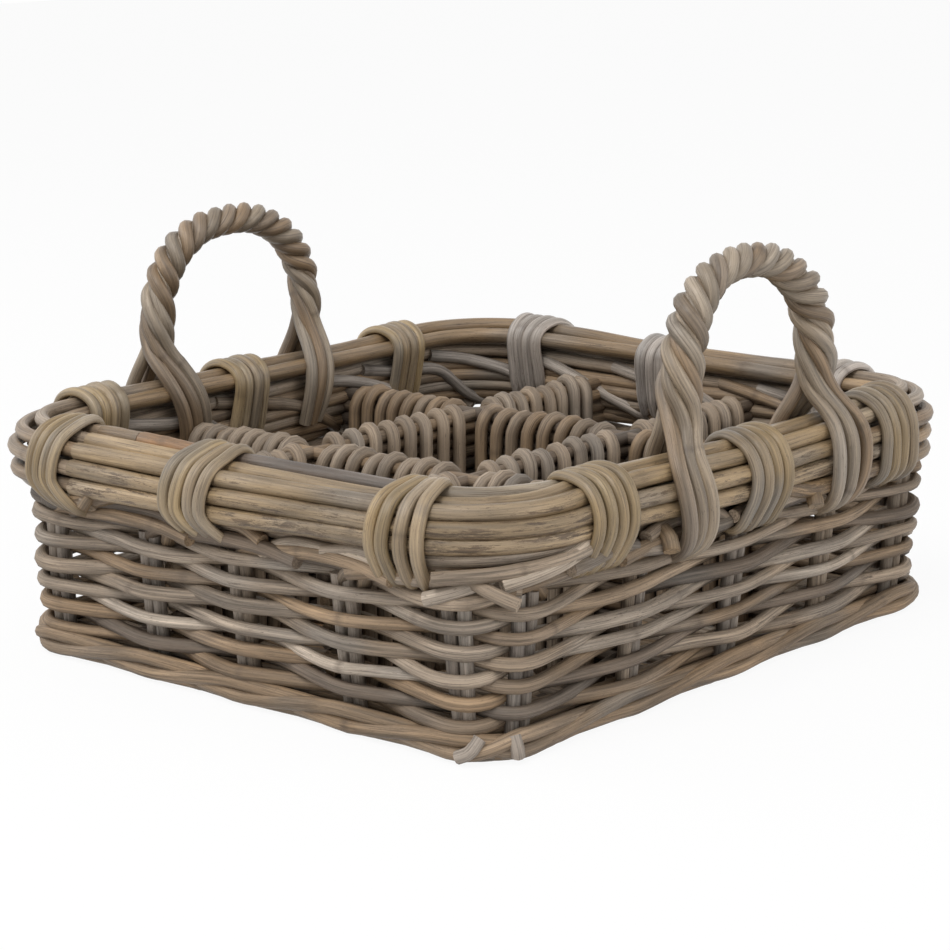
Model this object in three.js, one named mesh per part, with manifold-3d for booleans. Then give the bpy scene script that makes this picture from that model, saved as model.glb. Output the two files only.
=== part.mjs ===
// A low rectangular rattan caddy: woven walls, bound cane rim, two arch handles and nine compartments.
// Millimetres, +Z up, origin on the floor under the middle of the base, X and Y along the walls.
import * as THREE from "three";
import { mergeVertices } from "three/addons/utils/BufferGeometryUtils.js";
import Module from "manifold-3d";

const wasm = await Module();
wasm.setup();

// Overall plan and walls
const baseWidth = 340; // outer size along X at the floor
const baseLength = 376; // outer size along Y at the floor
const baseCorner = 20; // corner radius of the wall's middle line at the floor
const weaveCorner = 30; // the same at the top of the weave
const sharpWeaveCorner = 12; // the same from floor to top where +X meets +Y
const wideRimCorner = 50; // the same for border and canes where +X meets -Y and -X meets +Y
const tightRimCorner = 34; // and at the two other corners
const nearRise = 0; // how far the crown cane rises where +X meets -Y
const rightRise = 1; // where +X meets +Y
const backRise = 5.5; // where -X meets +Y
const leftRise = 3; // where -X meets -Y
const flare = 6; // how far each wall leans out up to its top
const wallThickness = 16;
const footHeight = 14;
const wallHeight = 68; // weave between foot and rim
const baseLift = 1; // underside of the base above the floor, so that the foot carries the basket
const baseThickness = 9; // top of the base above the floor
const fitGap = 0.3; // clearance between pieces that touch

// Weave of the walls and the base, as relief: one row for each rod, or pair of rods in the base
const weaveRows = 11;
const weaveCrossing = 3.8; // half the wall's thickness where its rods cross between two stakes
const weaveCover = 1.3; // weave left over a stake on the side where a rod passes behind it
const weaveCornerShares = [0.25, 0.5, 0.75]; // stations between the last stake of a wall and the next wall's
const baseRows = 36;
const baseStickPairs = 5;
const baseCrossing = 2.1; // half the base's thickness where its rods cross
const baseCover = 2.6; // half the thickness where a stick shows

// Upright stakes, laid in pairs inside the weave
const stakeRadius = 3.6;
const stakePairsPerWall = 5;
const stakeInset = 22; // from the wall's corner to the first pair, on the middle line
const stakeFloor = 3; // foot weave left under the stakes
const stakeCover = 1.5; // weave left over the stakes
const stakeLap = 0.1; // how deep the two stakes of a pair press into each other

// Rim
const borderHeight = 33; // rolled border that the canes lie round
const caneRadius = 4.55;
const outerCaneCount = 3;
const lowestCane = 9.5; // lowest outer cane's middle above the border's foot
const crownRise = 3; // crown cane above its two neighbours

// Cane strips bound round the rim
const bandTurns = 4;
const bandPitch = 9.4;
const bandWidth = 8.4;
const bandThickness = 3.4;
const bandMargin = 1.2; // room beside the turns where they pass through the wall
const bandFromStart = 24; // from the start of a wall's straight rim to its first binding, seen from outside
const bandFromEnd = 20; // from its last binding to the end of the straight rim
const middleBands = { front: -17, right: 14, back: -8, left: -21 }; // along +X or +Y, from the wall's middle

// Handles
const gripRadius = 10;
const handleHalfSpan = 59; // from the handle's middle to a leg's middle line
const handleTop = 224.5;
const archHeight = 62; // rise of the rounded part of the middle line
const rightHandleShift = 20; // along its wall, from the wall's middle
const leftHandleShift = -22;
const footWidth = 26;
const footThickness = 7.5;
const footReach = 4; // how far a foot's inner lip reaches below the inner cane

// Dividers
const leftCompartment = 96; // from the foot's inner face to the middle of the first divider, along X
const rightCompartment = 100;
const frontCompartment = 102; // the same along Y
const backCompartment = 110;
const dividerThickness = 8;
const dividerTop = 104.5;
const wrapWidth = 5.5;
const wrapThickness = 4;
const wrapLoopsPerBay = 8;
const wrapEndRoom = 4; // from the end of a bay to its first loop
const wrapSway = 1; // how far the strip swings sideways where it passes a crossing
const dividerChamfer = 2.5;

// Mesh detail
const cornerSteps = 5;
const stakeSides = 7; // sides of each stake of a pair
const caneSides = 8;
const gripSides = 10;
const archSteps = 20;
const footSides = 18;
const bandAngles = [0, 38, 72, 108, 142, 180, 225, 270, 315]; // the way each side of a turn faces
const bandStart = bandAngles.indexOf(225); // a binding starts under the rim, inside
const wrapAngles = [0, 45, 90, 135, 180, 270];
const wrapTopStart = wrapAngles.indexOf(90); // sides where a wrapping crosses over and under
const wrapFloorStart = wrapAngles.indexOf(270);
const windingNear = 3; // steps along a winding that count as the same place
const gapSamples = 4; // points measured along each step of a winding
const weldDistance = 1e-4;

// Heights and widths that follow from the sizes above
const halfWall = wallThickness / 2;
const wallTop = footHeight + wallHeight;
const borderFoot = wallTop + fitGap;
const borderTop = borderFoot + borderHeight;
const caneStep = 2 * caneRadius + fitGap;
const outerCaneU = halfWall + fitGap + caneRadius;
const topCaneZ = borderTop + fitGap + caneRadius;
const crownReach = Math.sqrt(caneStep ** 2 - crownRise ** 2);
const shoulderU = halfWall;
const crownU = shoulderU - crownReach;
const innerCaneU = crownU - crownReach;
const crownTop = topCaneZ + crownRise + caneRadius;
const notchFloor = borderFoot - bandThickness - 3 * fitGap;
const stakeTop = notchFloor - stakeCover;
const dividerFloor = baseThickness + wrapThickness + 2 * fitGap;
const innerX = halfX(0) - halfWall;
const innerY = halfY(0) - halfWall;
const dividerXs = [leftCompartment - innerX, innerX - rightCompartment]; // dividers that run along Y
const dividerYs = [frontCompartment - innerY, innerY - backCompartment]; // dividers that run along X

// How far a woven face stands out from its middle: over a stake, where rods cross, and where a stake shows
const wallLevels = { over: halfWall, crossing: weaveCrossing, behind: stakeRadius + fitGap + weaveCover };
const cornerLevels = { ...wallLevels, crossing: wallLevels.behind };
const baseLevels = { over: (baseThickness - baseLift) / 2, crossing: baseCrossing, behind: baseCover };

const canes = {
  rim_cane_crown: [crownU, topCaneZ + crownRise],
  rim_cane_shoulder: [shoulderU, topCaneZ],
  rim_cane_inner: [innerCaneU, topCaneZ],
};
for (let i = 0; i < outerCaneCount; i += 1) {
  canes[`rim_cane_outer_${i + 1}`] = [outerCaneU, borderFoot + lowestCane + i * caneStep];
}

const materials = {
  weave: { color: 0x8d7b66, roughness: 0.72, metalness: 0 },
  stake: { color: 0x827364, roughness: 0.74, metalness: 0 },
  cane: { color: 0xb1905c, roughness: 0.5, metalness: 0 },
  band: { color: 0x8f7f60, roughness: 0.5, metalness: 0 },
  grip: { color: 0x8b7a68, roughness: 0.6, metalness: 0 },
  divider: { color: 0x84715b, roughness: 0.66, metalness: 0 },
  wrap: { color: 0x8d7a62, roughness: 0.62, metalness: 0 },
};

const caddy = new THREE.Group();

function addPart(name, finish, geometry) {
  const mesh = new THREE.Mesh(geometry, new THREE.MeshStandardMaterial(materials[finish]));
  mesh.name = name;
  caddy.add(mesh);
}

// The wall's middle line at one height

function lean(z) {
  return Math.min(Math.max(z / wallTop, 0), 1);
}

function halfX(z) {
  return baseWidth / 2 - halfWall + flare * lean(z);
}

function halfY(z) {
  return baseLength / 2 - halfWall + flare * lean(z);
}

// Each wall is seen from outside, with t running along it to the right; its corner is at the +t end
const roundCorner = { footCorner: baseCorner, topCorner: weaveCorner };
const sharpCorner = { footCorner: sharpWeaveCorner, topCorner: sharpWeaveCorner };
const alongX = { along: halfX, out: halfY };
const alongY = { along: halfY, out: halfX };
const wideRim = { rimCorner: wideRimCorner };
const tightRim = { rimCorner: tightRimCorner };
const walls = {
  front: { turn: 0, before: "left", rise: nearRise, ...alongX, ...roundCorner, ...wideRim },
  right: { turn: 90, before: "front", rise: rightRise, ...alongY, ...sharpCorner, ...tightRim },
  back: { turn: 180, before: "right", rise: backRise, ...alongX, ...roundCorner, ...wideRim },
  left: { turn: 270, before: "back", rise: leftRise, ...alongY, ...roundCorner, ...tightRim },
};

const sides = Object.keys(walls);

// Radius of the corner at the +t end of a wall
function cornerRadius(z, side) {
  const { footCorner, topCorner, rimCorner } = walls[side];
  return z > wallTop ? rimCorner : footCorner + (topCorner - footCorner) * lean(z);
}

// How far the rim stands higher at t, over a height given for a level rim
function rimRise(side, t, z) {
  const wall = walls[side];
  const high = walls[wall.before];
  const from = high.rimCorner - wall.along(z);
  const to = wall.along(z) - wall.rimCorner;
  const share = Math.min(Math.max((t - from) / (to - from), 0), 1);
  const height = Math.max(z - wallTop, 0) / (crownTop - wallTop);
  return height * (high.rise + (wall.rise - high.rise) * share);
}

// A point t along a wall and u outside its middle line; past the straight part it follows the corner
function onWall(side, t, u, z) {
  const wall = walls[side];
  const radius = cornerRadius(z, t > 0 ? side : wall.before);
  const straight = wall.along(z) - radius;
  const past = Math.max(Math.abs(t) - straight, 0) * Math.sign(t);
  const angle = past / radius;
  const x = t - past + (radius + u) * Math.sin(angle);
  const y = -(wall.out(z) - radius) - (radius + u) * Math.cos(angle);
  const turn = THREE.MathUtils.degToRad(wall.turn);
  const c = Math.cos(turn);
  const s = Math.sin(turn);
  return new THREE.Vector3(x * c - y * s, x * s + y * c, z + rimRise(side, t, z));
}

// A position given along +X or +Y, turned into a wall's own t
function wallT(side, place) {
  return side === "front" || side === "right" ? place : -place;
}

// Closed meshes from vertices and triangles

function toGeometry(points, triangles) {
  const geometry = new THREE.BufferGeometry();
  const positions = new Float32Array(points.flatMap((p) => [p.x, p.y, p.z]));
  geometry.setAttribute("position", new THREE.BufferAttribute(positions, 3));
  geometry.setIndex(triangles);
  geometry.computeVertexNormals();
  return geometry;
}

// Rings joined one after another, each counter-clockwise as seen looking along the path
function sweep(rings, closed) {
  const sides = rings[0].length;
  const triangles = [];
  const last = closed ? rings.length : rings.length - 1;
  for (let i = 0; i < last; i += 1) {
    const here = i * sides;
    const next = ((i + 1) % rings.length) * sides;
    for (let k = 0; k < sides; k += 1) {
      const m = (k + 1) % sides;
      triangles.push(here + k, next + m, here + m, here + k, next + k, next + m);
    }
  }
  if (!closed) {
    capEnd(triangles, rings[0], 0, false);
    capEnd(triangles, rings[rings.length - 1], (rings.length - 1) * sides, true);
  }
  return toGeometry(rings.flat(), triangles);
}

function capEnd(triangles, ring, start, flip) {
  const normal = new THREE.Vector3();
  ring.forEach((p, i) => normal.add(new THREE.Vector3().crossVectors(p, ring[(i + 1) % ring.length])));
  normal.normalize();
  const axisU = new THREE.Vector3().subVectors(ring[1], ring[0]).normalize();
  const axisV = new THREE.Vector3().crossVectors(normal, axisU);
  const flat = ring.map((p) => new THREE.Vector2(p.dot(axisU), p.dot(axisV)));
  for (const [a, b, c] of THREE.ShapeUtils.triangulateShape(flat, [])) {
    triangles.push(start + a, start + (flip ? c : b), start + (flip ? b : c));
  }
}

function toSolid(geometry) {
  const plain = geometry.clone();
  plain.deleteAttribute("normal");
  plain.deleteAttribute("uv");
  const merged = mergeVertices(plain.index ? plain.toNonIndexed() : plain, weldDistance);
  const mesh = new wasm.Mesh({
    numProp: 3,
    vertProperties: merged.attributes.position.array,
    triVerts: new Uint32Array(merged.index.array),
  });
  return new wasm.Manifold(mesh);
}

function fromSolid(solid) {
  const mesh = solid.getMesh();
  const geometry = new THREE.BufferGeometry();
  geometry.setAttribute("position", new THREE.BufferAttribute(mesh.vertProperties, 3));
  geometry.setIndex(new THREE.BufferAttribute(mesh.triVerts, 1));
  geometry.computeVertexNormals();
  return geometry;
}

function subtractAll(solid, cutters) {
  return cutters.reduce((rest, cutter) => rest.subtract(cutter), solid);
}

// A ring round the whole basket, from its outline in (u, z), counter-clockwise
function wallRing(outline) {
  const stations = [];
  for (const side of sides) {
    for (let i = 0; i <= cornerSteps; i += 1) {
      stations.push([side, i / cornerSteps]);
    }
  }
  const rings = stations.map(([side, share]) =>
    outline.map(([u, z]) => {
      const radius = cornerRadius(z, side);
      const straight = walls[side].along(z) - radius;
      return onWall(side, straight + (share * radius * Math.PI) / 2, u, z);
    }),
  );
  return sweep(rings, true);
}

function circleOutline(u, z, radius, sides) {
  const outline = [];
  for (let i = 0; i < sides; i += 1) {
    const angle = ((i + 0.5) / sides) * 2 * Math.PI;
    outline.push([u + radius * Math.cos(angle), z + radius * Math.sin(angle)]);
  }
  return outline;
}

// Stakes

function stakePlaces(side) {
  const reach = walls[side].along(0) - stakeInset;
  const places = [];
  for (let i = 0; i < stakePairsPerWall; i += 1) {
    places.push(-reach + (2 * reach * i) / (stakePairsPerWall - 1));
  }
  return places;
}

// Two round stakes side by side, joined along the line where they touch
function pairOutline() {
  const offset = stakeRadius - stakeLap;
  const meet = Math.acos(-offset / stakeRadius);
  const lobe = Array.from({ length: stakeSides }, (_, i) => meet * ((2 * i) / stakeSides - 1));
  const right = lobe.map((a) => [offset + stakeRadius * Math.cos(a), stakeRadius * Math.sin(a)]);
  const left = lobe.map((a) => [-offset - stakeRadius * Math.cos(a), -stakeRadius * Math.sin(a)]);
  return [...right, ...left];
}

// The room that the rods of the weave leave round a pair of stakes, pointed at both ends
function slotOutline() {
  const radius = stakeRadius + fitGap;
  const flat = stakeRadius + radius * Math.tan(Math.PI / 8);
  const tip = stakeRadius + radius * Math.SQRT2;
  return [
    [tip, 0],
    [flat, radius],
    [-flat, radius],
    [-tip, 0],
    [-flat, -radius],
    [flat, -radius],
  ];
}

// Where a place given at the foot lies at another height, as the wall grows longer upwards
function spread(side, place, z) {
  return (walls[side].along(z) / walls[side].along(0)) * place;
}

// An upright prism that leans with the wall
function standing(side, place, outline, zLow, zHigh) {
  const rings = [zLow, zHigh].map((z) =>
    outline.map(([dt, u]) => tangentPoint(side, spread(side, place, z), dt, u, z)),
  );
  return sweep(rings, false);
}

// A point dt along the wall's tangent and u out from it, at t
function tangentPoint(side, t, dt, u, z) {
  const middle = onWall(side, t, 0, z);
  const outward = onWall(side, t, 1, z).sub(middle);
  const along = new THREE.Vector3(-outward.y, outward.x, 0);
  return middle.addScaledVector(along, dt).addScaledVector(outward, u);
}

function addStakes() {
  for (const side of sides) {
    stakePlaces(side).forEach((place, i) => {
      const shape = standing(side, place, pairOutline(), stakeFloor + fitGap, stakeTop);
      addPart(`stake_pair_${side}_${i + 1}`, "stake", shape);
    });
  }
}

function stakeSlots() {
  return sides.flatMap((side) =>
    stakePlaces(side).map((place) =>
      toSolid(standing(side, place, slotOutline(), stakeFloor, stakeTop + fitGap)),
    ),
  );
}

// Woven relief: swing is 1 where a row passes over a stake, -1 where it passes behind it

function weaveReach(swing, { over, crossing, behind }) {
  return crossing + swing * (swing > 0 ? over - crossing : crossing - behind);
}

// The rows of a woven sheet at one station: each one's place across the sheet and the reach of both faces
function wovenRows(from, to, count, swing, levels) {
  const edge = weaveReach(-Math.abs(swing), levels);
  const rows = [{ at: from, front: edge, rear: edge }];
  for (let i = 0; i < count; i += 1) {
    const way = i % 2 ? -swing : swing;
    const at = from + ((to - from) * (i + 0.5)) / count;
    rows.push({ at, front: weaveReach(way, levels), rear: weaveReach(-way, levels) });
  }
  rows.push({ at: to, front: edge, rear: edge });
  return rows;
}

// A point round the corner after a wall: share 0 is its last stake, share 1 the next wall's first
function cornerPoint(side, share, u, z) {
  const next = sides[(sides.indexOf(side) + 1) % sides.length];
  const radius = cornerRadius(z, side);
  const arcEnd = walls[side].along(z) - radius + (radius * Math.PI) / 2;
  const nextStart = radius - walls[next].along(z);
  const last = spread(side, stakePlaces(side).at(-1), z);
  const first = spread(next, stakePlaces(next)[0], z);
  const t = last + share * (arcEnd - last + first - nextStart);
  return t < arcEnd ? onWall(side, t, u, z) : onWall(next, nextStart + t - arcEnd, u, z);
}

// Stations round the weave: every stake, the crossing after it, and several round each corner
function weaveStations() {
  return sides.flatMap((side, k) => {
    const places = stakePlaces(side);
    const onSide = (place, swing) => {
      return { swing, levels: wallLevels, point: (u, z) => onWall(side, spread(side, place, z), u, z) };
    };
    return places.flatMap((place, i) => {
      const swing = (k * places.length + i) % 2 ? -1 : 1;
      if (i + 1 < places.length) return [onSide(place, swing), onSide((place + places[i + 1]) / 2, 0)];
      const turn = weaveCornerShares.map((share) => {
        const point = (u, z) => cornerPoint(side, share, u, z);
        return { swing: swing * (1 - 2 * share), levels: cornerLevels, point };
      });
      return [onSide(place, swing), ...turn];
    });
  });
}

function weaveRing() {
  const rings = weaveStations().map(({ point, swing, levels }) => {
    const rows = wovenRows(footHeight + fitGap, wallTop, weaveRows, swing, levels);
    const outer = rows.map(({ at, front }) => point(front, at));
    const inner = rows.map(({ at, rear }) => point(-rear, at));
    return [...outer, ...inner.reverse()];
  });
  return sweep(rings, true);
}

// The base's woven slab, with rows along X and pairs of sticks along Y, a little larger than the base
function baseSlab(x, y) {
  const middle = (baseThickness + baseLift) / 2;
  const count = 2 * baseStickPairs;
  const rings = Array.from({ length: count + 1 }, (_, i) => {
    const swing = i % 2 ? 2 - (i % 4) : 0;
    const at = ((2 * i) / count - 1) * (x + fitGap);
    const rows = wovenRows(-y - fitGap, y + fitGap, baseRows, swing, baseLevels);
    const top = rows.map(({ at: across, front }) => new THREE.Vector3(at, across, middle + front));
    const under = rows.map(({ at: across, rear }) => new THREE.Vector3(at, across, middle - rear));
    return [...top, ...under.reverse()];
  });
  return toSolid(sweep(rings, false));
}

// Base, foot and woven wall

function addBase() {
  const outline = new THREE.Shape();
  const x = halfX(0) - halfWall - fitGap;
  const y = halfY(0) - halfWall - fitGap;
  const r = baseCorner - halfWall;
  outline.moveTo(-x + r, -y);
  outline.lineTo(x - r, -y);
  outline.absarc(x - r, -y + r, r, -Math.PI / 2, 0, false);
  outline.lineTo(x, y - r);
  outline.absarc(x - r, y - r, r, 0, Math.PI / 2, false);
  outline.lineTo(-x + r, y);
  outline.absarc(-x + r, y - r, r, Math.PI / 2, Math.PI, false);
  outline.lineTo(-x, -y + r);
  outline.absarc(-x + r, -y + r, r, Math.PI, 1.5 * Math.PI, false);
  const options = { depth: baseThickness, bevelEnabled: false, curveSegments: cornerSteps };
  const blank = toSolid(new THREE.ExtrudeGeometry(outline, options));
  addPart("base_panel", "weave", fromSolid(blank.intersect(baseSlab(x, y))));
}

// The bindings of each wall, numbered along +X or +Y
function bandPlaces() {
  return sides.flatMap((side) => {
    const wall = walls[side];
    const first = walls[wall.before].rimCorner - wall.along(borderTop) + bandFromStart;
    const last = wall.along(borderTop) - wall.rimCorner - bandFromEnd;
    const places = [first, wallT(side, middleBands[side]), last];
    places.sort((a, b) => wallT(side, a) - wallT(side, b));
    return places.map((t, i) => ({ side, t, name: `rim_band_${side}_${i + 1}` }));
  });
}

// Where along its wall the corner number i of a binding's turns lies
function bandCorner(t, i) {
  return t + bandPitch * ((i + 0.5) / bandAngles.length - bandTurns / 2);
}

// Room in the wall's top edge for the strips that pass under the border
function bandNotches() {
  const room = bandWidth / 2 + bandMargin;
  return bandPlaces().map(({ side, t }) => {
    const from = bandCorner(t, 0) - room;
    const to = bandCorner(t, (bandTurns - 1) * bandAngles.length + 1) + room;
    const rings = Array.from({ length: cornerSteps + 1 }, (_, i) =>
      [
        [wallThickness, notchFloor],
        [wallThickness, borderFoot],
        [-wallThickness, borderFoot],
        [-wallThickness, notchFloor],
      ].map(([u, z]) => onWall(side, from + ((to - from) * i) / cornerSteps, u, z)),
    );
    return toSolid(sweep(rings, false));
  });
}

function addWalls() {
  const slots = stakeSlots();
  const foot = wallRing([
    [-halfWall, 0],
    [halfWall, 0],
    [halfWall, footHeight],
    [-halfWall, footHeight],
  ]);
  const border = wallRing([
    [-halfWall, borderFoot],
    [halfWall, borderFoot],
    [halfWall, borderTop],
    [-halfWall, borderTop],
  ]);
  addPart("foot_wale", "weave", fromSolid(subtractAll(toSolid(foot), slots)));
  const cut = subtractAll(subtractAll(toSolid(weaveRing()), slots), bandNotches());
  addPart("woven_wall", "weave", fromSolid(cut));
  addPart("rim_border", "weave", border);
}

function addCanes() {
  for (const [name, [u, z]] of Object.entries(canes)) {
    addPart(name, "cane", wallRing(circleOutline(u, z, caneRadius, caneSides)));
  }
}

// The outline that closes round some circles [u, z, radius] at one distance, one side per angle
function outlineRound(circles, distance, degrees) {
  const lines = degrees.map((deg) => {
    const angle = THREE.MathUtils.degToRad(deg);
    const n = [Math.cos(angle), Math.sin(angle)];
    const reach = Math.max(...circles.map(([u, z, r]) => u * n[0] + z * n[1] + r));
    return { n, reach: reach + distance };
  });
  return lines.map((a, i) => {
    const b = lines[(i + 1) % lines.length];
    const det = a.n[0] * b.n[1] - a.n[1] * b.n[0];
    const u = (a.reach * b.n[1] - b.reach * a.n[1]) / det;
    const z = (b.reach * a.n[0] - a.reach * b.n[0]) / det;
    return [u, z];
  });
}

function rimOutline(distance, degrees) {
  const circles = Object.values(canes).map(([u, z]) => [u, z, caneRadius]);
  circles.push([halfWall, borderFoot, 0], [-halfWall, borderFoot, 0]);
  return outlineRound(circles, distance, degrees);
}

// Flat strip along a path, given the way its face looks at each point; corners are mitred
function stripRings(path, faces, width, thickness) {
  return path.map((point, i) => {
    const before = path[Math.max(i - 1, 0)];
    const after = path[Math.min(i + 1, path.length - 1)];
    const into = point.clone().sub(i ? before : after).normalize();
    if (!i) into.negate();
    const onward = i < path.length - 1 ? after.clone().sub(point).normalize() : into;
    const ahead = into.clone().add(onward).normalize();
    const face = faces[i].clone().addScaledVector(ahead, -faces[i].dot(ahead)).normalize();
    const across = new THREE.Vector3().crossVectors(ahead, face);
    const halfWidth = width / 2 / Math.sqrt(1 - into.dot(across) ** 2);
    const halfThick = thickness / 2 / Math.sqrt(1 - into.dot(face) ** 2);
    return [
      [-halfWidth, -halfThick],
      [halfWidth, -halfThick],
      [halfWidth, halfThick],
      [-halfWidth, halfThick],
    ].map(([a, f]) => point.clone().addScaledVector(across, a).addScaledVector(face, f));
  });
}

// Least distance of a winding to itself, measured on points along its four edges
function leastGap(rings) {
  const samples = [];
  for (let i = 0; i + 1 < rings.length; i += 1) {
    for (let k = 0; k < gapSamples; k += 1) {
      const corners = rings[i].map((p, c) => p.clone().lerp(rings[i + 1][c], k / gapSamples));
      samples.push({ run: i + k / gapSamples, corners });
    }
  }
  let least = Infinity;
  for (const a of samples) {
    for (const b of samples) {
      if (b.run - a.run < windingNear) continue;
      for (const p of a.corners) {
        for (const q of b.corners) least = Math.min(least, p.distanceTo(q));
      }
    }
  }
  return least;
}

function addWinding(name, finish, path, faces, width, thickness) {
  const rings = stripRings(path, faces, width, thickness);
  addPart(name, finish, sweep(rings, false));
  console.log(`${name}: least gap to itself ${leastGap(rings).toFixed(2)} mm`);
}

// Bindings round the rim, each one unbroken strip that starts and ends inside the basket

function addBand({ side, t, name }) {
  const outline = rimOutline(fitGap + bandThickness / 2, bandAngles);
  const count = outline.length;
  const path = [];
  const faces = [];
  for (let i = 0; i < bandTurns * count; i += 1) {
    const at = (i + bandStart) % count;
    const [u, z] = outline[at];
    const place = bandCorner(t, i);
    const [du, dz] = cornerFace(outline, at);
    path.push(onWall(side, place, u, z));
    faces.push(onWall(side, place, u + du, z).sub(onWall(side, place, u, z)).setZ(dz));
  }
  addWinding(name, "band", path, faces, bandWidth, bandThickness);
}

// The way out of a counter-clockwise outline at one of its corners
function cornerFace(outline, at) {
  const count = outline.length;
  const here = new THREE.Vector2(...outline[at]);
  const into = here.clone().sub(new THREE.Vector2(...outline[(at + count - 1) % count])).normalize();
  const onward = new THREE.Vector2(...outline[(at + 1) % count]).sub(here).normalize();
  const ahead = into.add(onward).normalize();
  return [ahead.y, -ahead.x];
}

// Handles: an arch on two feet that close round the rim

function archPath(side, t) {
  const legFoot = (end) => crownTop + 2 * fitGap + rimRise(side, t + end * handleHalfSpan, crownTop);
  const spring = handleTop - gripRadius - archHeight;
  const points = [[-handleHalfSpan, legFoot(-1)]];
  for (let i = 0; i <= archSteps; i += 1) {
    const angle = Math.PI * (1 - i / archSteps);
    points.push([handleHalfSpan * Math.cos(angle), spring + archHeight * Math.sin(angle)]);
  }
  points.push([handleHalfSpan, legFoot(1)]);
  return points.map(([dt, z]) => onWall(side, t + dt, 0, borderTop).setZ(z));
}

function roundTube(path, level, radius, sides) {
  const rings = path.map((point, i) => {
    const before = path[Math.max(i - 1, 0)];
    const after = path[Math.min(i + 1, path.length - 1)];
    const ahead = after.clone().sub(before).normalize();
    const other = new THREE.Vector3().crossVectors(level, ahead);
    return circleOutline(0, 0, radius, sides).map(([a, b]) =>
      point.clone().addScaledVector(level, a).addScaledVector(other, b),
    );
  });
  return sweep(rings, false);
}

// A strap over the rim, hooked under the outer canes and over the inner one
function footSolid(side, t) {
  const block = (outline) => {
    const ends = [t - footWidth / 2, t + footWidth / 2];
    return toSolid(sweep(ends.map((at) => outline.map(([u, z]) => onWall(side, at, u, z))), false));
  };
  const degrees = Array.from({ length: footSides }, (_, i) => (i * 360) / footSides);
  const shell = block(rimOutline(fitGap + footThickness, degrees));
  const rim = block(rimOutline(fitGap, degrees));
  const core = halfWall + 2 * fitGap;
  const inner = innerCaneU - caneRadius - 2 * footThickness;
  const borderRoom = [
    [-core, 0],
    [core, 0],
    [core, wallTop],
    [core, borderTop],
    [-core, borderTop],
    [-core, wallTop],
  ];
  const lipEnd = borderTop - footReach;
  const belowLip = [
    [inner, 0],
    [0, 0],
    [0, lipEnd],
    [inner, lipEnd],
  ];
  return subtractAll(shell, [rim, block(borderRoom), block(belowLip)]);
}

function addHandle(name, side, shift) {
  const t = wallT(side, shift);
  const outward = onWall(side, t, 1, borderTop).sub(onWall(side, t, 0, borderTop));
  const arch = toSolid(roundTube(archPath(side, t), outward, gripRadius, gripSides));
  const feet = [-1, 1].map((end) => footSolid(side, t + end * handleHalfSpan));
  addPart(name, "grip", fromSolid(arch.add(feet[0]).add(feet[1])));
}

// Dividers: long ones run along Y and are slotted from above, cross ones run along X and from below

const dividerSets = {
  long: { places: dividerXs, crossings: dividerYs, reach: halfY, toWorld: (s, w, place) => [place + w, s] },
  cross: { places: dividerYs, crossings: dividerXs, reach: halfX, toWorld: (s, w, place) => [s, place - w] },
};

function dividerSection() {
  const half = dividerThickness / 2;
  return [
    [half, dividerFloor],
    [half, dividerTop - dividerChamfer],
    [half - dividerChamfer, dividerTop],
    [dividerChamfer - half, dividerTop],
    [-half, dividerTop - dividerChamfer],
    [-half, dividerFloor],
  ];
}

function dividerPoint(set, place, s, w, z) {
  return new THREE.Vector3(...set.toWorld(s, w, place), z);
}

function dividerCore(kind, place) {
  const set = dividerSets[kind];
  const rings = [-1, 1].map((end) =>
    dividerSection().map(([w, z]) => {
      const s = end * (set.reach(z) - halfWall - fitGap);
      return dividerPoint(set, place, s, w, z);
    }),
  );
  return subtractAll(toSolid(sweep(rings, false)), set.crossings.map((at) => lapSlot(kind, place, at)));
}

// Room for the crossing divider: the upper half of a long one, the lower half of a cross one
function lapSlot(kind, place, at) {
  const set = dividerSets[kind];
  const middle = (dividerFloor + dividerTop) / 2;
  const past = dividerThickness;
  const [low, high] = kind === "long" ? [middle, dividerTop + past] : [0, middle + fitGap];
  const half = dividerThickness / 2 + fitGap;
  const rings = [at - half, at + half].map((s) =>
    [
      [past, low],
      [past, high],
      [-past, high],
      [-past, low],
    ].map(([w, z]) => dividerPoint(set, place, s, w, z)),
  );
  return toSolid(sweep(rings, false));
}

// The stretches of a divider that its wrapping covers
function wrapBays(set) {
  const end = set.reach(dividerFloor) - halfWall - fitGap - wrapEndRoom - wrapWidth / 2;
  const clear = dividerThickness / 2 + fitGap + wrapThickness + wrapWidth / 2 + 2 * fitGap;
  const [first, second] = set.crossings;
  return [
    [-end, first - clear],
    [first + clear, second - clear],
    [second + clear, end],
  ];
}

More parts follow.
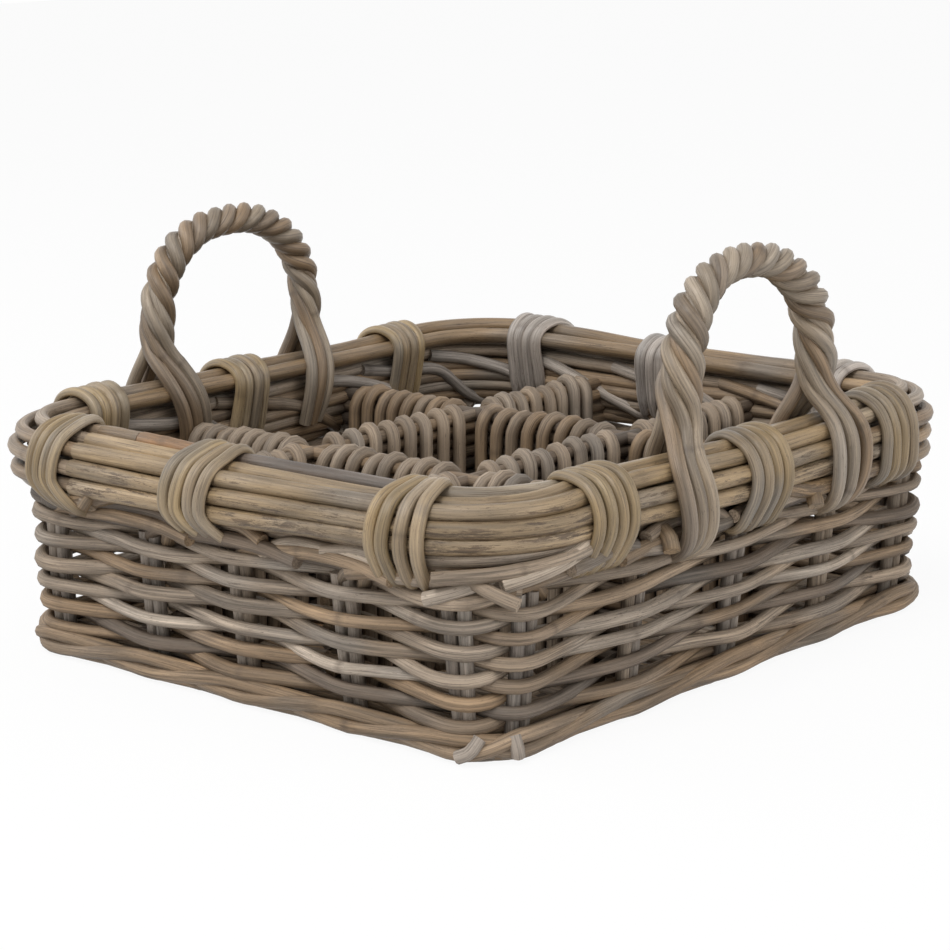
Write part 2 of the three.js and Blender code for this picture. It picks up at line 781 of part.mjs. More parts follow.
// One unbroken strip: it crosses over the long dividers' crossings and under the cross dividers'
function addWrap(name, kind, place) {
  const set = dividerSets[kind];
  const circles = dividerSection().map(([w, z]) => [w, z, 0]);
  const outline = outlineRound(circles, fitGap + wrapThickness / 2, wrapAngles);
  const count = outline.length;
  const start = kind === "long" ? wrapTopStart : wrapFloorStart;
  const runUp = kind === "long" ? 1 : -1;
  const runZ = outline[start][1];
  const path = [];
  const faces = [];
  wrapBays(set).forEach(([from, to], bay, bays) => {
    const steps = wrapLoopsPerBay * count;
    for (let i = 0; i < steps; i += 1) {
      const at = (i + start) % count;
      const [w, z] = outline[at];
      const [dw, dz] = cornerFace(outline, at);
      path.push(dividerPoint(set, place, from + ((to - from) * i) / (steps - 1), w, z));
      faces.push(dividerPoint(set, 0, 0, dw, dz).sub(dividerPoint(set, 0, 0, 0, 0)));
    }
    if (bay + 1 < bays.length) {
      path.push(dividerPoint(set, place, to, -runUp * wrapSway, runZ));
      path.push(dividerPoint(set, place, bays[bay + 1][0], runUp * wrapSway, runZ));
      faces.push(new THREE.Vector3(0, 0, runUp), new THREE.Vector3(0, 0, runUp));
    }
  });
  addWinding(name, "wrap", path, faces, wrapWidth, wrapThickness);
}

function addDividers() {
  for (const [kind, set] of Object.entries(dividerSets)) {
    set.places.forEach((place, i) => {
      addPart(`divider_${kind}_${i + 1}`, "divider", fromSolid(dividerCore(kind, place)));
      addWrap(`divider_${kind}_wrap_${i + 1}`, kind, place);
    });
  }
}

addBase();
addWalls();
addStakes();
addCanes();
bandPlaces().forEach(addBand);
addHandle("handle_right", "right", rightHandleShift);
addHandle("handle_left", "left", leftHandleShift);
addDividers();

export default caddy;
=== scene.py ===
"""Looks of a low rectangular rattan caddy: woven walls, bound cane rim, two rope handles, nine compartments.

Sizes are in millimetres, in the frame of the CAD model, and become metres where a mesh is made.
"""

import math

import bpy
import numpy as np
from mathutils import Matrix, Vector


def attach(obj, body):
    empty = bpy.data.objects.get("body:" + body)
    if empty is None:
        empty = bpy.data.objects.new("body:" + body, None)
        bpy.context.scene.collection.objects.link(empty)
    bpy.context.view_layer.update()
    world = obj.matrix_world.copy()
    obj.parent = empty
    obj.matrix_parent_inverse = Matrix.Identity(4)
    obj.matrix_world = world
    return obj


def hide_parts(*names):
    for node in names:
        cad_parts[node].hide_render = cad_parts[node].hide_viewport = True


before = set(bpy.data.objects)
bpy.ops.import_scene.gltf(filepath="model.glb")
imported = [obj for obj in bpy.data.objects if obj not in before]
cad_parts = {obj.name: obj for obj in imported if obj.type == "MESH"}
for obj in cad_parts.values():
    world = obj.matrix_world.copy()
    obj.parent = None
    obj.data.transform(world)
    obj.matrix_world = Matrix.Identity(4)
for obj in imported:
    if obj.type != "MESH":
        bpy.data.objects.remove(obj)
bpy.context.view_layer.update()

MM = 0.001
rng = np.random.default_rng(11)

# Sizes of the walls, shared with the CAD model
BASE_WIDTH = 340
BASE_LENGTH = 376
WALL = 16
FLARE = 6
FOOT_TOP = 14
WEAVE_TOP = 82
BASE_CORNER = 20
WEAVE_CORNER = 30
SHARP_WEAVE_CORNER = 12
WIDE_RIM_CORNER = 50
TIGHT_RIM_CORNER = 34
CROWN_TOP = 127.7
HANDLE_TOP = 224.5
HALF_WALL = WALL / 2
SIDES = ("front", "right", "back", "left")

# Rods
WEAVER = 3.75
STAKE = 3.5
CANE = 4.75
WRAP = 3.75
ROD_SIDES = 10
NODE_GAPS = (90, 210)  # a rod's joints are evenly spaced, at a distance between these
NODE_SWELL = 0.07
NODE_REACH = 3
NODE_LINE = 1.6
GRAIN_SPREAD = 500  # every rod takes its grain from another place in the noise
SILVER_RUN = 45  # length of a stretch that has weathered to silver grey
SILVER_SPREAD = 0.3
SILVER_MOST = 0.6


def lean(z):
    return np.clip(np.asarray(z, float) / WEAVE_TOP, 0, 1)


def half_x(z):
    return BASE_WIDTH / 2 - HALF_WALL + FLARE * lean(z)


def half_y(z):
    return BASE_LENGTH / 2 - HALF_WALL + FLARE * lean(z)


class Ring:
    """A closed line round the basket: s runs along it from the front wall's left end, u is outwards."""

    def __init__(self, radii, height, rises=()):
        self.radii = radii
        along = self.along(height)
        self.corner = radii(height)
        before = np.roll(self.corner, 1)
        self.straight = 2 * along - self.corner - before
        self.arc = self.corner * math.pi / 2
        lengths = np.column_stack([self.straight, self.arc]).ravel()
        self.starts = np.concatenate([[0], np.cumsum(lengths)])
        self.length = self.starts[-1]
        self.middle = along - before
        self.rise_s = np.array([self.place(side, t) for side, t, _ in rises])
        self.rises = np.array([rise for _, _, rise in rises])

    def along(self, z):
        return np.array([half_x(z), half_y(z), half_x(z), half_y(z)])

    def place(self, side, t):
        """The s of a point t from the middle of a wall, seen from outside, t to the right."""
        k = SIDES.index(side)
        return self.starts[2 * k] + self.middle[k] + t

    def lift(self, s, z):
        """How far the rim stands higher there than a level one."""
        if not len(self.rises):
            return 0
        rise = np.interp(s, self.rise_s, self.rises, period=self.length)
        grown = np.clip((z - WEAVE_TOP) / (CROWN_TOP - WEAVE_TOP), 0, 1.1)
        return rise * grown * np.clip((HANDLE_TOP - z) / (HANDLE_TOP - CROWN_TOP - 8), 0, 1)

    def at(self, s, u, z):
        """The point at each s, u and z."""
        s, u, z = np.broadcast_arrays(np.asarray(s, float) % self.length, u, z)
        part = np.clip(np.searchsorted(self.starts, s, side="right") - 1, 0, 7)
        k = part // 2
        share = (s - self.starts[part]) / (self.starts[part + 1] - self.starts[part])
        along = np.choose(k % 2, [half_x(z), half_y(z)])
        out = np.choose(k % 2, [half_y(z), half_x(z)])
        radii = self.radii(z)
        after = np.choose(k, radii)
        before = np.choose((k + 3) % 4, radii)
        bend = part % 2 == 1
        radius = np.where(bend, after, 0)
        angle = np.where(bend, share * math.pi / 2, 0)
        low = before - along
        t = np.where(bend, along - after, low + share * (along - after - low))
        reach = radius + u
        x = t + reach * np.sin(angle)
        y = -(out - radius) - reach * np.cos(angle)
        turn = k * math.pi / 2
        cos, sin = np.cos(turn), np.sin(turn)
        return np.stack([x * cos - y * sin, x * sin + y * cos, z + self.lift(s, z)], axis=-1)


def weave_radii(z):
    radius = BASE_CORNER + (WEAVE_CORNER - BASE_CORNER) * lean(z)
    return np.array([radius, radius * 0 + SHARP_WEAVE_CORNER, radius, radius])


def rim_radii(z):
    flat = 0 * np.asarray(z, float)
    return np.array([flat + r for r in (WIDE_RIM_CORNER, TIGHT_RIM_CORNER) * 2])


# How high the crown stands over a level rim, at points seen from outside each wall
RIM_RISES = (
    ("front", -136, 2.2), ("front", -110, 1.0), ("front", 0, -0.5), ("front", 116, 0.5),
    ("right", -130, 0.4), ("right", -80, 0.6), ("right", 10, -2.0), ("right", 110, -0.5), ("right", 150, 1.5),
    ("back", -110, 1.5), ("back", 0, 2.5), ("back", 110, 5.5),
    ("left", -130, 5.5), ("left", 0, 4.0), ("left", 130, 4.8),
)
WEAVE = Ring(weave_radii, WEAVE_TOP / 2)
RIM = Ring(rim_radii, WEAVE_TOP, RIM_RISES)
NEAR_CORNER = RIM.starts[1] + RIM.arc[0] / 2
RIGHT_CORNER = RIM.starts[3] + RIM.arc[1] / 2
LEFT_CORNER = RIM.starts[7] + RIM.arc[3] / 2


# Noise and curves along a rod

def wander(count, step, spread):
    """Slow random drift, one value per point, about one turn per `step` points."""
    knots = rng.normal(0, spread, max(int(count / step) + 3, 4))
    x = np.linspace(0, len(knots) - 1.001, count)
    i = x.astype(int)
    f = soft_step(x - i)
    return knots[i] * (1 - f) + knots[i + 1] * f


def resample(points, step):
    """Points at even distances along a smooth curve through the given ones."""
    points = np.asarray(points, float)
    extended = np.vstack([2 * points[0] - points[1], points, 2 * points[-1] - points[-2]])
    fine = []
    for i in range(1, len(extended) - 2):
        a, b, c, d = extended[i - 1:i + 3]
        t = np.linspace(0, 1, 12, endpoint=False)[:, None]
        fine.append(0.5 * (2 * b + (c - a) * t + (2 * a - 5 * b + 4 * c - d) * t**2
                           + (3 * b - a - 3 * c + d) * t**3))
    fine = np.vstack(fine + [points[-1:]])
    return even(fine, step)


def soft_step(x):
    x = np.clip(x, 0, 1)
    return x * x * (3 - 2 * x)


def even(fine, step):
    """Points at even distances along a line of straight pieces."""
    run = np.concatenate([[0], np.cumsum(np.linalg.norm(np.diff(fine, axis=0), axis=1))])
    count = max(int(run[-1] / step) + 1, 3)
    wanted = np.linspace(0, run[-1], count)
    return np.column_stack([np.interp(wanted, run, fine[:, k]) for k in range(3)])


# Meshes of many rods

class Rods:
    """Collects tubes for one mesh, with the grain, tint and joint marks that the materials read."""

    def __init__(self):
        self.points = []
        self.faces = []
        self.grain = []
        self.tint = []
        self.mark = []

    def add(self, path, radius, tint, profile=None, facing=None, taper=(1, 1), closed=False, bumps=True,
            bark=0.3, shade=1.0):
        """A tube along the path. radius, bark and shade are numbers, or one number for each point of it."""
        path = np.asarray(path, float)
        count = len(path)
        if closed:
            ahead = np.roll(path, -1, axis=0) - np.roll(path, 1, axis=0)
        else:
            ahead = np.gradient(path, axis=0)
        ahead /= np.linalg.norm(ahead, axis=1)[:, None]
        across, up = self.frames(ahead, facing)
        if profile is None:
            angle = np.arange(ROD_SIDES) * 2 * math.pi / ROD_SIDES
            profile = np.column_stack([np.cos(angle), np.sin(angle)])
        sides = len(profile)
        run = np.concatenate([[0], np.cumsum(np.linalg.norm(np.diff(path, axis=0), axis=1))])
        radius = np.broadcast_to(np.asarray(radius, float), (count,)).copy()
        radius *= np.linspace(taper[0], taper[1], count)
        node_gap = rng.uniform(*NODE_GAPS)
        phase = (run + rng.uniform(0, node_gap)) / node_gap
        near = np.abs(phase - np.round(phase)) * node_gap
        if bumps:
            radius *= 1 + NODE_SWELL * np.exp(-((near / NODE_REACH) ** 2))
        offset = profile[None] * radius[:, None, None]
        outward = offset[..., :1] * across[:, None] + offset[..., 1:] * up[:, None]
        rings = path[:, None] + outward
        # How far each point of the tube faces down: where the painted shade goes
        under = np.clip(-outward[..., 2] / np.linalg.norm(outward, axis=-1), 0, 1)
        start = sum(len(p) for p in self.points)
        seed = rng.uniform(0, GRAIN_SPREAD, 3)
        grain = np.dstack([offset + seed[:2], np.repeat((run + seed[2] * 10)[:, None], sides, axis=1)])
        mark = np.repeat(np.exp(-((near / NODE_LINE) ** 2))[:, None], sides, axis=1)
        k = np.arange(sides)
        for i in range(count if closed else count - 1):
            here = start + i * sides
            there = start + ((i + 1) % count) * sides
            m = (k + 1) % sides
            self.faces.extend(np.column_stack([here + k, here + m, there + m, there + k]).tolist())
        self.points.append(rings.reshape(-1, 3))
        self.grain.append(grain.reshape(-1, 3))
        self.mark.append(mark.ravel())
        silver = wander(count, SILVER_RUN * count / run[-1], SILVER_SPREAD)
        silver = np.clip(silver, 0, SILVER_MOST)[:, None]
        along = tint * (1 - silver) + SILVER * (tint.sum() / SILVER.sum()) * silver
        along = along * np.broadcast_to(shade, (count,))[:, None]
        # Painted shade: each point of a rod is darker the more it faces down
        colours = along[:, None] * (1 - UNDERSIDE_SHADE * under[..., None])
        barks = np.broadcast_to(np.asarray(bark, float), (count,))[:, None, None]
        self.tint.append(np.dstack([colours, np.broadcast_to(barks, (count, sides, 1))]).reshape(-1, 4))
        if not closed:
            self.end_face(rings[0][::-1], path[0], grain[0], along[0])
            self.end_face(rings[-1], path[-1], grain[-1], along[-1])

    def end_face(self, ring, middle, grain, tint):
        """A cut end, paler than the rod, with an edge of its own."""
        start = sum(len(p) for p in self.points)
        sides = len(ring)
        k = np.arange(sides)
        fan = np.column_stack([start + k, start + (k + 1) % sides, np.full(sides, start + sides)])
        self.faces.extend(fan.tolist())
        self.points.append(np.vstack([ring, middle]))
        self.grain.append(np.vstack([grain, grain.mean(axis=0)]))
        self.mark.append(np.zeros(sides + 1))
        self.tint.append(np.tile(np.append(tint * CUT_GLEAM, 0), (sides + 1, 1)))

    @staticmethod
    def frames(ahead, facing):
        """The directions across and up at each point: up is towards facing, or turns as little as it can."""
        if facing is not None:
            up = np.asarray(facing, float)
            up = up - ahead * np.sum(up * ahead, axis=1)[:, None]
            up /= np.linalg.norm(up, axis=1)[:, None]
            return np.cross(ahead, up), up
        seed = np.array([0.0, 0.0, 1.0]) if abs(ahead[0][2]) < 0.9 else np.array([1.0, 0.0, 0.0])
        ups = []
        up = seed - ahead[0] * seed.dot(ahead[0])
        for a in ahead:
            up = up - a * up.dot(a)
            up = up / math.sqrt(up.dot(up))
            ups.append(up)
        return np.cross(ahead, ups), np.array(ups)

    def make(self, name, material, slot, *nodes):
        """The mesh of all the tubes, in place of the CAD model's nodes."""
        mesh = bpy.data.meshes.new(name)
        points = np.vstack(self.points) * MM
        mesh.from_pydata(points.tolist(), [], self.faces)
        mesh.shade_smooth()
        for label, kind, field, values in (("grain", "FLOAT_VECTOR", "vector", self.grain),
                                           ("tint", "FLOAT_COLOR", "color", self.tint),
                                           ("mark", "FLOAT", "value", self.mark)):
            attribute = mesh.attributes.new(label, kind, "POINT")
            attribute.data.foreach_set(field, np.concatenate(values).ravel())
        mesh.materials.append(material)
        piece = bpy.data.objects.new(name, mesh)
        bpy.context.collection.objects.link(piece)
        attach(piece, "root")
        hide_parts(*nodes)


# Colours, as linear light

def srgb(*parts):
    parts = np.array(parts, float) / 255
    return np.where(parts <= 0.04045, parts / 12.92, ((parts + 0.055) / 1.055) ** 2.4)


GREY_ROD = srgb(150, 133, 114)
BROWN_ROD = srgb(139, 117, 92)
PALE_ROD = srgb(173, 158, 141)
WARM_ROD = srgb(146, 117, 89)
DARK_ROD = srgb(104, 90, 76)
CANE_TAN = srgb(172, 147, 112)
CANE_BROWN = srgb(148, 123, 92)
CANE_PALE = srgb(166, 150, 128)
CANE_RED = srgb(158, 120, 82)
GREY_DARK = srgb(106, 93, 82)
BINDING_TAN = srgb(158, 135, 99)
BINDING_BROWN = srgb(151, 131, 103)
BINDING_GREY = srgb(172, 162, 153)
GRIP_GREY = srgb(150, 134, 114)
STAKE_GREY = srgb(160, 148, 136)
SILVER = srgb(168, 160, 150)
INNER_GREY = srgb(164, 153, 142)
UNDERSIDE_SHADE = 0.3  # painted shade: how much darker a rod is painted straight underneath
CUT_GLEAM = 1.3  # how much paler its cut ends are


def pick(*choices):
    """A rod's colour: one of the weighted (share, colour) choices, made a little lighter or darker."""
    shares = np.array([c[0] for c in choices], float)
    colour = choices[rng.choice(len(choices), p=shares / shares.sum())][1]
    return colour * rng.uniform(0.82, 1.14) * (1 + rng.uniform(-0.03, 0.03) * np.array([1, 0.2, -1]))


def weave_tint():
    choices = (5, GREY_ROD), (4, BROWN_ROD), (1.4, PALE_ROD), (0.4, WARM_ROD), (1, DARK_ROD)
    return 1.1 * pick(*choices)


# Materials

def rod_material(name, roughness, stripe, spots, spot_colour, coat=0.0):
    """Rattan: the rod's own tint with the painted shade on its underside, grain lines along it, cracks,
    specks, patches of bark and joint rings.

    stripe is how strong the grain lines are. spots is the noise level above which bark shows on a rod
    with none of its own; the tint's alpha, a rod's amount of bark, lowers it.
    """
    material = bpy.data.materials.new(name)
    material.use_nodes = True
    tree = material.node_tree
    nodes, links = tree.nodes, tree.links
    shader = nodes["Principled BSDF"]

    def attribute(label):
        node = nodes.new("ShaderNodeAttribute")
        node.attribute_name = label
        return node

    def scaled(scale):
        node = nodes.new("ShaderNodeVectorMath")
        node.operation = "MULTIPLY"
        node.inputs[1].default_value = scale
        links.new(grain.outputs["Vector"], node.inputs[0])
        return node.outputs[0]

    def noise(scale, detail=3.0, rough=0.6):
        node = nodes.new("ShaderNodeTexNoise")
        node.inputs["Scale"].default_value = 1.0
        node.inputs["Detail"].default_value = detail
        node.inputs["Roughness"].default_value = rough
        links.new(scaled(scale), node.inputs["Vector"])
        return node.outputs["Fac"]

    def spread(value, low, high, out_low, out_high):
        node = nodes.new("ShaderNodeMapRange")
        node.inputs["From Min"].default_value = low
        node.inputs["From Max"].default_value = high
        node.inputs["To Min"].default_value = out_low
        node.inputs["To Max"].default_value = out_high
        links.new(value, node.inputs["Value"])
        return node.outputs["Result"]

    def feed(socket, value):
        if isinstance(value, bpy.types.NodeSocket):
            links.new(value, socket)
        elif isinstance(value, (int, float)):
            socket.default_value = value
        else:
            socket.default_value = (*value, 1)

    def mix(kind, factor, first, second):
        node = nodes.new("ShaderNodeMix")
        node.data_type = "RGBA"
        node.blend_type = kind
        for i, value in ((0, factor), (6, first), (7, second)):
            feed(node.inputs[i], value)
        return node.outputs[2]

    def reckon(operation, a, b):
        node = nodes.new("ShaderNodeMath")
        node.operation = operation
        feed(node.inputs[0], a)
        feed(node.inputs[1], b)
        return node.outputs[0]

    def times(a, b):
        return reckon("MULTIPLY", a, b)

    grain = attribute("grain")
    tint = attribute("tint")
    mark = attribute("mark")
    lines = noise((0.9, 0.9, 0.02), 6.0, 0.75)
    cracks = noise((1.3, 1.3, 0.03), 3.0)
    drift = noise((0.14, 0.14, 0.014), 2.0)
    specks = noise((1.9, 1.9, 0.35), 2.0)
    bark = noise((0.32, 0.32, 0.045), 10.0, 0.8)
    reach = spread(tint.outputs["Alpha"], 0, 1, spots, spots - 0.16)
    skin = spread(reckon("SUBTRACT", bark, reach), 0, 0.035, 0, 1)
    striped = spread(lines, 0.36, 0.64, 1 - stripe, 1 + stripe * 0.6)
    colour = mix("MULTIPLY", 1.0, tint.outputs["Color"], striped)
    colour = mix("MULTIPLY", 1.0, colour, spread(drift, 0.3, 0.7, 0.66, 1.3))
    colour = mix("MIX", times(spread(cracks, 0.57, 0.66, 0, 1), 0.6), colour, spot_colour)
    colour = mix("MIX", times(spread(specks, 0.63, 0.7, 0, 1), 0.5), colour, spot_colour)
    skin_colour = mix("MULTIPLY", 1.0, spot_colour, spread(lines, 0.36, 0.64, 0.5, 1.7))
    colour = mix("MIX", times(skin, 0.85), colour, skin_colour)
    colour = mix("MIX", times(mark.outputs["Fac"], 0.45), colour, spot_colour)
    links.new(colour, shader.inputs["Base Color"])
    links.new(spread(lines, 0.3, 0.7, roughness + 0.1, roughness - 0.1), shader.inputs["Roughness"])
    shader.inputs["Coat Weight"].default_value = coat
    shader.inputs["Coat Roughness"].default_value = 0.3
    bump = nodes.new("ShaderNodeBump")
    bump.inputs["Strength"].default_value = 0.75
    bump.inputs["Distance"].default_value = 0.5 * MM
    links.new(lines, bump.inputs["Height"])
    links.new(bump.outputs["Normal"], shader.inputs["Normal"])
    return material


BARK = srgb(78, 61, 43)
DUST = srgb(72, 58, 46)
weave_look = rod_material("weave_rods", 0.6, 0.5, 0.68, DUST)
stake_look = rod_material("stake_rods", 0.7, 0.42, 0.7, DUST)
cane_look = rod_material("rim_canes", 0.46, 0.36, 0.66, BARK, 0.1)
binding_look = rod_material("rim_bindings", 0.42, 0.42, 0.72, DUST, 0.2)
grip_look = rod_material("handle_strands", 0.46, 0.38, 0.7, DUST, 0.15)
divider_look = rod_material("divider_rods", 0.68, 0.36, 0.72, DUST)
wrap_look = rod_material("divider_wraps", 0.58, 0.36, 0.72, DUST)

# Where the stake pairs stand, from each wall's middle, seen from outside
STAKE_PLACES = {
    "front": (-138, -64, 3, 76, 147),
    "right": (-160, -77, 6, 88, 160),
    "back": (-145, -73, 0, 73, 145),
    "left": (-160, -80, 0, 80, 160),
}
stake_s = [WEAVE.place(side, t) for side in SIDES for t in STAKE_PLACES[side]]
STAKE_COUNT = len(stake_s)
HUG = 4  # half the length that a rod lies flat against a stake pair


def over_under(s, inside):
    """+1 in front of a stake pair, -1 behind it, turning smoothly; inside(i) says which."""
    knots = np.array(stake_s + [stake_s[0] + WEAVE.length])
    s = np.asarray(s, float)
    turns = np.floor((s - knots[0]) / WEAVE.length)
    local = s - turns * WEAVE.length
    i = np.clip(np.searchsorted(knots, local, side="right") - 1, 0, STAKE_COUNT - 1)
    gap = knots[i + 1] - knots[i]
    f = np.clip((local - knots[i] - HUG) / (gap - 2 * HUG), 0, 1)
    f = 0.6 * f + 0.4 * f * f * (3 - 2 * f)
    number = i + (turns * STAKE_COUNT).astype(int)
    return inside(number) * (1 - f) + inside(number + 1) * f


# Woven walls: rows of rods that pass in front of and behind the stake pairs by turns

ROWS = 11
WEAVE_DEPTH = 6.3  # how far a rod's middle swings out of the wall's, either way
WEAVE_FOOT = FOOT_TOP + 0.3
WEAVE_LEAN = 0.9  # a rod lies this much lower in front of a stake pair and higher behind it
ROD_STEP = 4.0
RING_STEP = 6.0
END_COVER = 3  # a rod's end goes on this far past the middle of the stake pair that hides it


def weave_row(rods, row):
    """Three rods one after another, each from one stake pair that hides its end to another."""
    height = WEAVE_FOOT + (row + 0.5) * (WEAVE_TOP - WEAVE_FOOT) / ROWS
    hidden = [stake_s[i] for i in range(STAKE_COUNT) if (i + row) % 2]
    hidden += [s + WEAVE.length for s in hidden]
    first = rng.integers(0, 3)
    for begin, end in ((first, first + 3), (first + 3, first + 7), (first + 7, first + 10)):
        s = np.arange(hidden[begin] - END_COVER, hidden[end] + END_COVER, ROD_STEP)
        side = over_under(s, lambda i: np.where((i + row) % 2 == 0, 1.0, -1.0))
        depth = WEAVE_DEPTH * side + wander(len(s), 16, 0.5)
        z = height + wander(len(s), 14, 1.1) - WEAVE_LEAN * side
        thick = rng.uniform(0.88, 1.15)
        ends = (thick, thick * rng.uniform(0.78, 0.95))
        shade = 1 + wander(len(s), 9, 0.09)
        rods.add(WEAVE.at(s, depth, z), WEAVER, weave_tint(), taper=ends,
                 bark=rng.uniform(0, 0.8), shade=shade)


def make_weave():
    rods = Rods()
    for row in range(ROWS):
        weave_row(rods, row)
    rods.make("weave_walls", weave_look, "weave", "woven_wall")


def plain_ring(rods, u, z, radius):
    """A rod all the way round at one u and z, where it closes a gap."""
    path = WEAVE.at(np.arange(0, WEAVE.length, RING_STEP), u, z)
    rods.add(path, radius, BROWN_ROD, closed=True, bumps=False)


FOOT_ROD = 3.9
FOOT_MIDDLE = 8.3
FOOT_RISE = 3.8
FOOT_OUT = 4.2
FOOT_SWING = 3.2
GROUND_ROD = 3.7
GROUND_MIDDLE = 3.9
GROUND_OUT = 2.5
FOOT_INSIDE = (-5.0, 14.0, 3.6)  # u, z and radius of the rod between the foot and the weave, inside
# Cut stake ends that lean out at the near corner: where they start on the front wall, and their drift
FOOT_STUBS = ((156, -9), (170, 1))


def make_foot():
    """Three rods twined round the foot, each in front of two stake pairs and behind the third."""
    rods = Rods()
    back = STAKE_COUNT // 2
    for j in range(3):
        begin = back + (-back - j) % 3
        end = stake_s[begin + 1] + WEAVE.length
        s = np.arange(stake_s[begin] - END_COVER, end + END_COVER, ROD_STEP)
        side = over_under(s, lambda i: np.where((i + j) % 3 == 0, -0.7, 1.0))
        rise = over_under(s, lambda i: np.choose((i + j) % 3, [0.0, -1.0, 1.0]))
        z = FOOT_MIDDLE + FOOT_RISE * rise + wander(len(s), 20, 0.25)
        tint = pick((3, GREY_ROD), (2, BROWN_ROD))
        path = WEAVE.at(s, FOOT_OUT + FOOT_SWING * side, z)
        rods.add(path, FOOT_ROD, tint, shade=1 + wander(len(s), 9, 0.08))
    for j in range(2):
        s = np.arange(0, WEAVE.length, ROD_STEP) + stake_s[back + j]
        side = over_under(s, lambda i: np.where((i + j) % 2 == 0, 1.0, -0.4))
        path = WEAVE.at(s, GROUND_OUT + FOOT_SWING * side, GROUND_MIDDLE + 0.3 * side)
        rods.add(path, GROUND_ROD, pick((3, GREY_ROD), (2, BROWN_ROD)))
    plain_ring(rods, *FOOT_INSIDE)
    for start, drift in FOOT_STUBS:
        s = WEAVE.place("front", start) + np.array([0, 0.4, 1]) * drift
        z = np.array([13, 7, 3.6])
        rods.add(resample(WEAVE.at(s, np.array([8, 11, 10.5]), z), 2), STAKE, STAKE_GREY)
    rods.make("foot_rods", weave_look, "weave", "foot_wale")


STAKE_POINTS = 14
STAKE_GAP = 0.15  # half the gap between the two stakes of a pair


def make_stakes():
    for side in SIDES:
        for i, t in enumerate(STAKE_PLACES[side]):
            rods = Rods()
            for half in (-1, 1):
                z = np.linspace(4, 80, STAKE_POINTS)
                s = WEAVE.place(side, t) + half * (STAKE + STAKE_GAP) + wander(STAKE_POINTS, 6, 0.4)
                tint = pick((3, STAKE_GREY), (1, GREY_ROD))
                rods.add(WEAVE.at(s, wander(STAKE_POINTS, 6, 0.25), z), STAKE, tint, bark=0.15)
            rods.make(f"stakes_{side}_{i + 1}", stake_look, "stake", f"stake_pair_{side}_{i + 1}")


# Rolled border: stakes bent over, each out from under its neighbours and cut off outside

# Cut rods under the canes at the wide front corner, each as: from, to, first u, z, last u, z, radius
NEAR_CORNER_RODS = (
    (70, -19, 11, 100, 18.5, 91, 3.5),
    (2, -23, 9, 89.5, 14.5, 80, 3.7),
    (52, 5, 10, 101, 17, 88, 4.5),
    (-12, 9, 3, 93, 27, 80.5, 3.6),
    (74, 34, 9, 93, 14, 90, 3.9),
    (-28, 50, 8, 97.5, 10, 101.5, 3.9),
)
NEAR_CORNER_BULGE = np.array([0, 1.2, 1.6, 1, 0])
# Short cut ends that point down from under the canes: wall, t, z of the tip, radius
BORDER_STUBS = (("right", -66, 84, 4.3), ("right", 58, 83, 4.3), ("front", -92, 90, 3.1))
# Height and u of the rods that run all the way round and fill the border
BORDER_RINGS = (
    (85, -3), (85.5, 3), (91, -5.5), (94, 1), (97, -6.5), (103, -5), (103, 3), (110, -4), (111, 4),
)
BORDER_RING = 3.9
INNER_ROD = 3.7


def border_rod(rods, s0, reach, out, height, radius):
    """Rises inside the wall, lies outside it under the canes and ends in a cut tip."""
    s = s0 + reach * np.array([0, 0.1, 0.3, 0.55, 0.8, 1])
    u = np.array([-1, 3, out - 1.5, out, out, out + 1.5]) + rng.normal(0, 0.4, 6)
    z = np.array([76, 84, height - 1, height + 1, height, height - 3]) + rng.normal(0, 0.6, 6)
    rods.add(resample(RIM.at(s, u, z), 4), radius, weave_tint())


def near_corner_rods(rods):
    for start, end, u0, z0, u1, z1, radius in NEAR_CORNER_RODS:
        s = NEAR_CORNER + np.linspace(start, end, 5)
        u = np.linspace(u0, u1, 5) + NEAR_CORNER_BULGE
        z = np.linspace(z0, z1, 5)
        tint = pick((2, GREY_ROD), (2, PALE_ROD))
        rods.add(resample(RIM.at(s, u, z), 3), radius, tint, bark=0.5)


def inner_rod(rods, s0, height):
    """Rises out of the weave and slants up along the inside of the border."""
    s = s0 + np.array([0, 14, 40, 75, 105])
    u = np.array([1, -6, -9.5, -9, -6])
    z = np.array([80, 87, height, 106, 110])
    rods.add(resample(RIM.at(s, u, z), 4), INNER_ROD, pick((3, INNER_GREY), (1, BROWN_ROD)))


def make_border():
    """Two rods outside and one inside for each stake pair; they lean to the right on the front and back."""
    rods = Rods()
    for i, s0 in enumerate(stake_s):
        s = RIM.length * s0 / WEAVE.length
        way = 1 if SIDES[i // 5] in ("front", "back") else -1
        border_rod(rods, s - 6 * way, reach=way * rng.uniform(88, 120), out=8.2,
                   height=86.5 + i % 3, radius=3.8)
        border_rod(rods, s + 8 * way, reach=way * rng.uniform(70, 105), out=6.5,
                   height=92 + i % 2 * 2, radius=3.6)
        inner_rod(rods, s + rng.uniform(-5, 12), 96 + (i % 3) * 3)
    near_corner_rods(rods)
    for side, t, z, radius in BORDER_STUBS:
        s = RIM.place(side, t) + np.array([0, -1, -3])
        stub = RIM.at(s, np.array([9, 14, 17]), np.array([z + 9, z + 5, z]))
        rods.add(resample(stub, 3), radius, CANE_BROWN * 0.85)
    for height, u in BORDER_RINGS:
        s = np.arange(0, RIM.length, 7.0)
        z = height + 1.2 * np.sin(s / 60 + height) + wander(len(s), 12, 0.4)
        path = RIM.at(s, u + wander(len(s), 10, 0.6), z)
        rods.add(path, BORDER_RING, weave_tint(), closed=True, bumps=False)
    rods.make("border_rods", weave_look, "weave", "rim_border")


# Rim canes

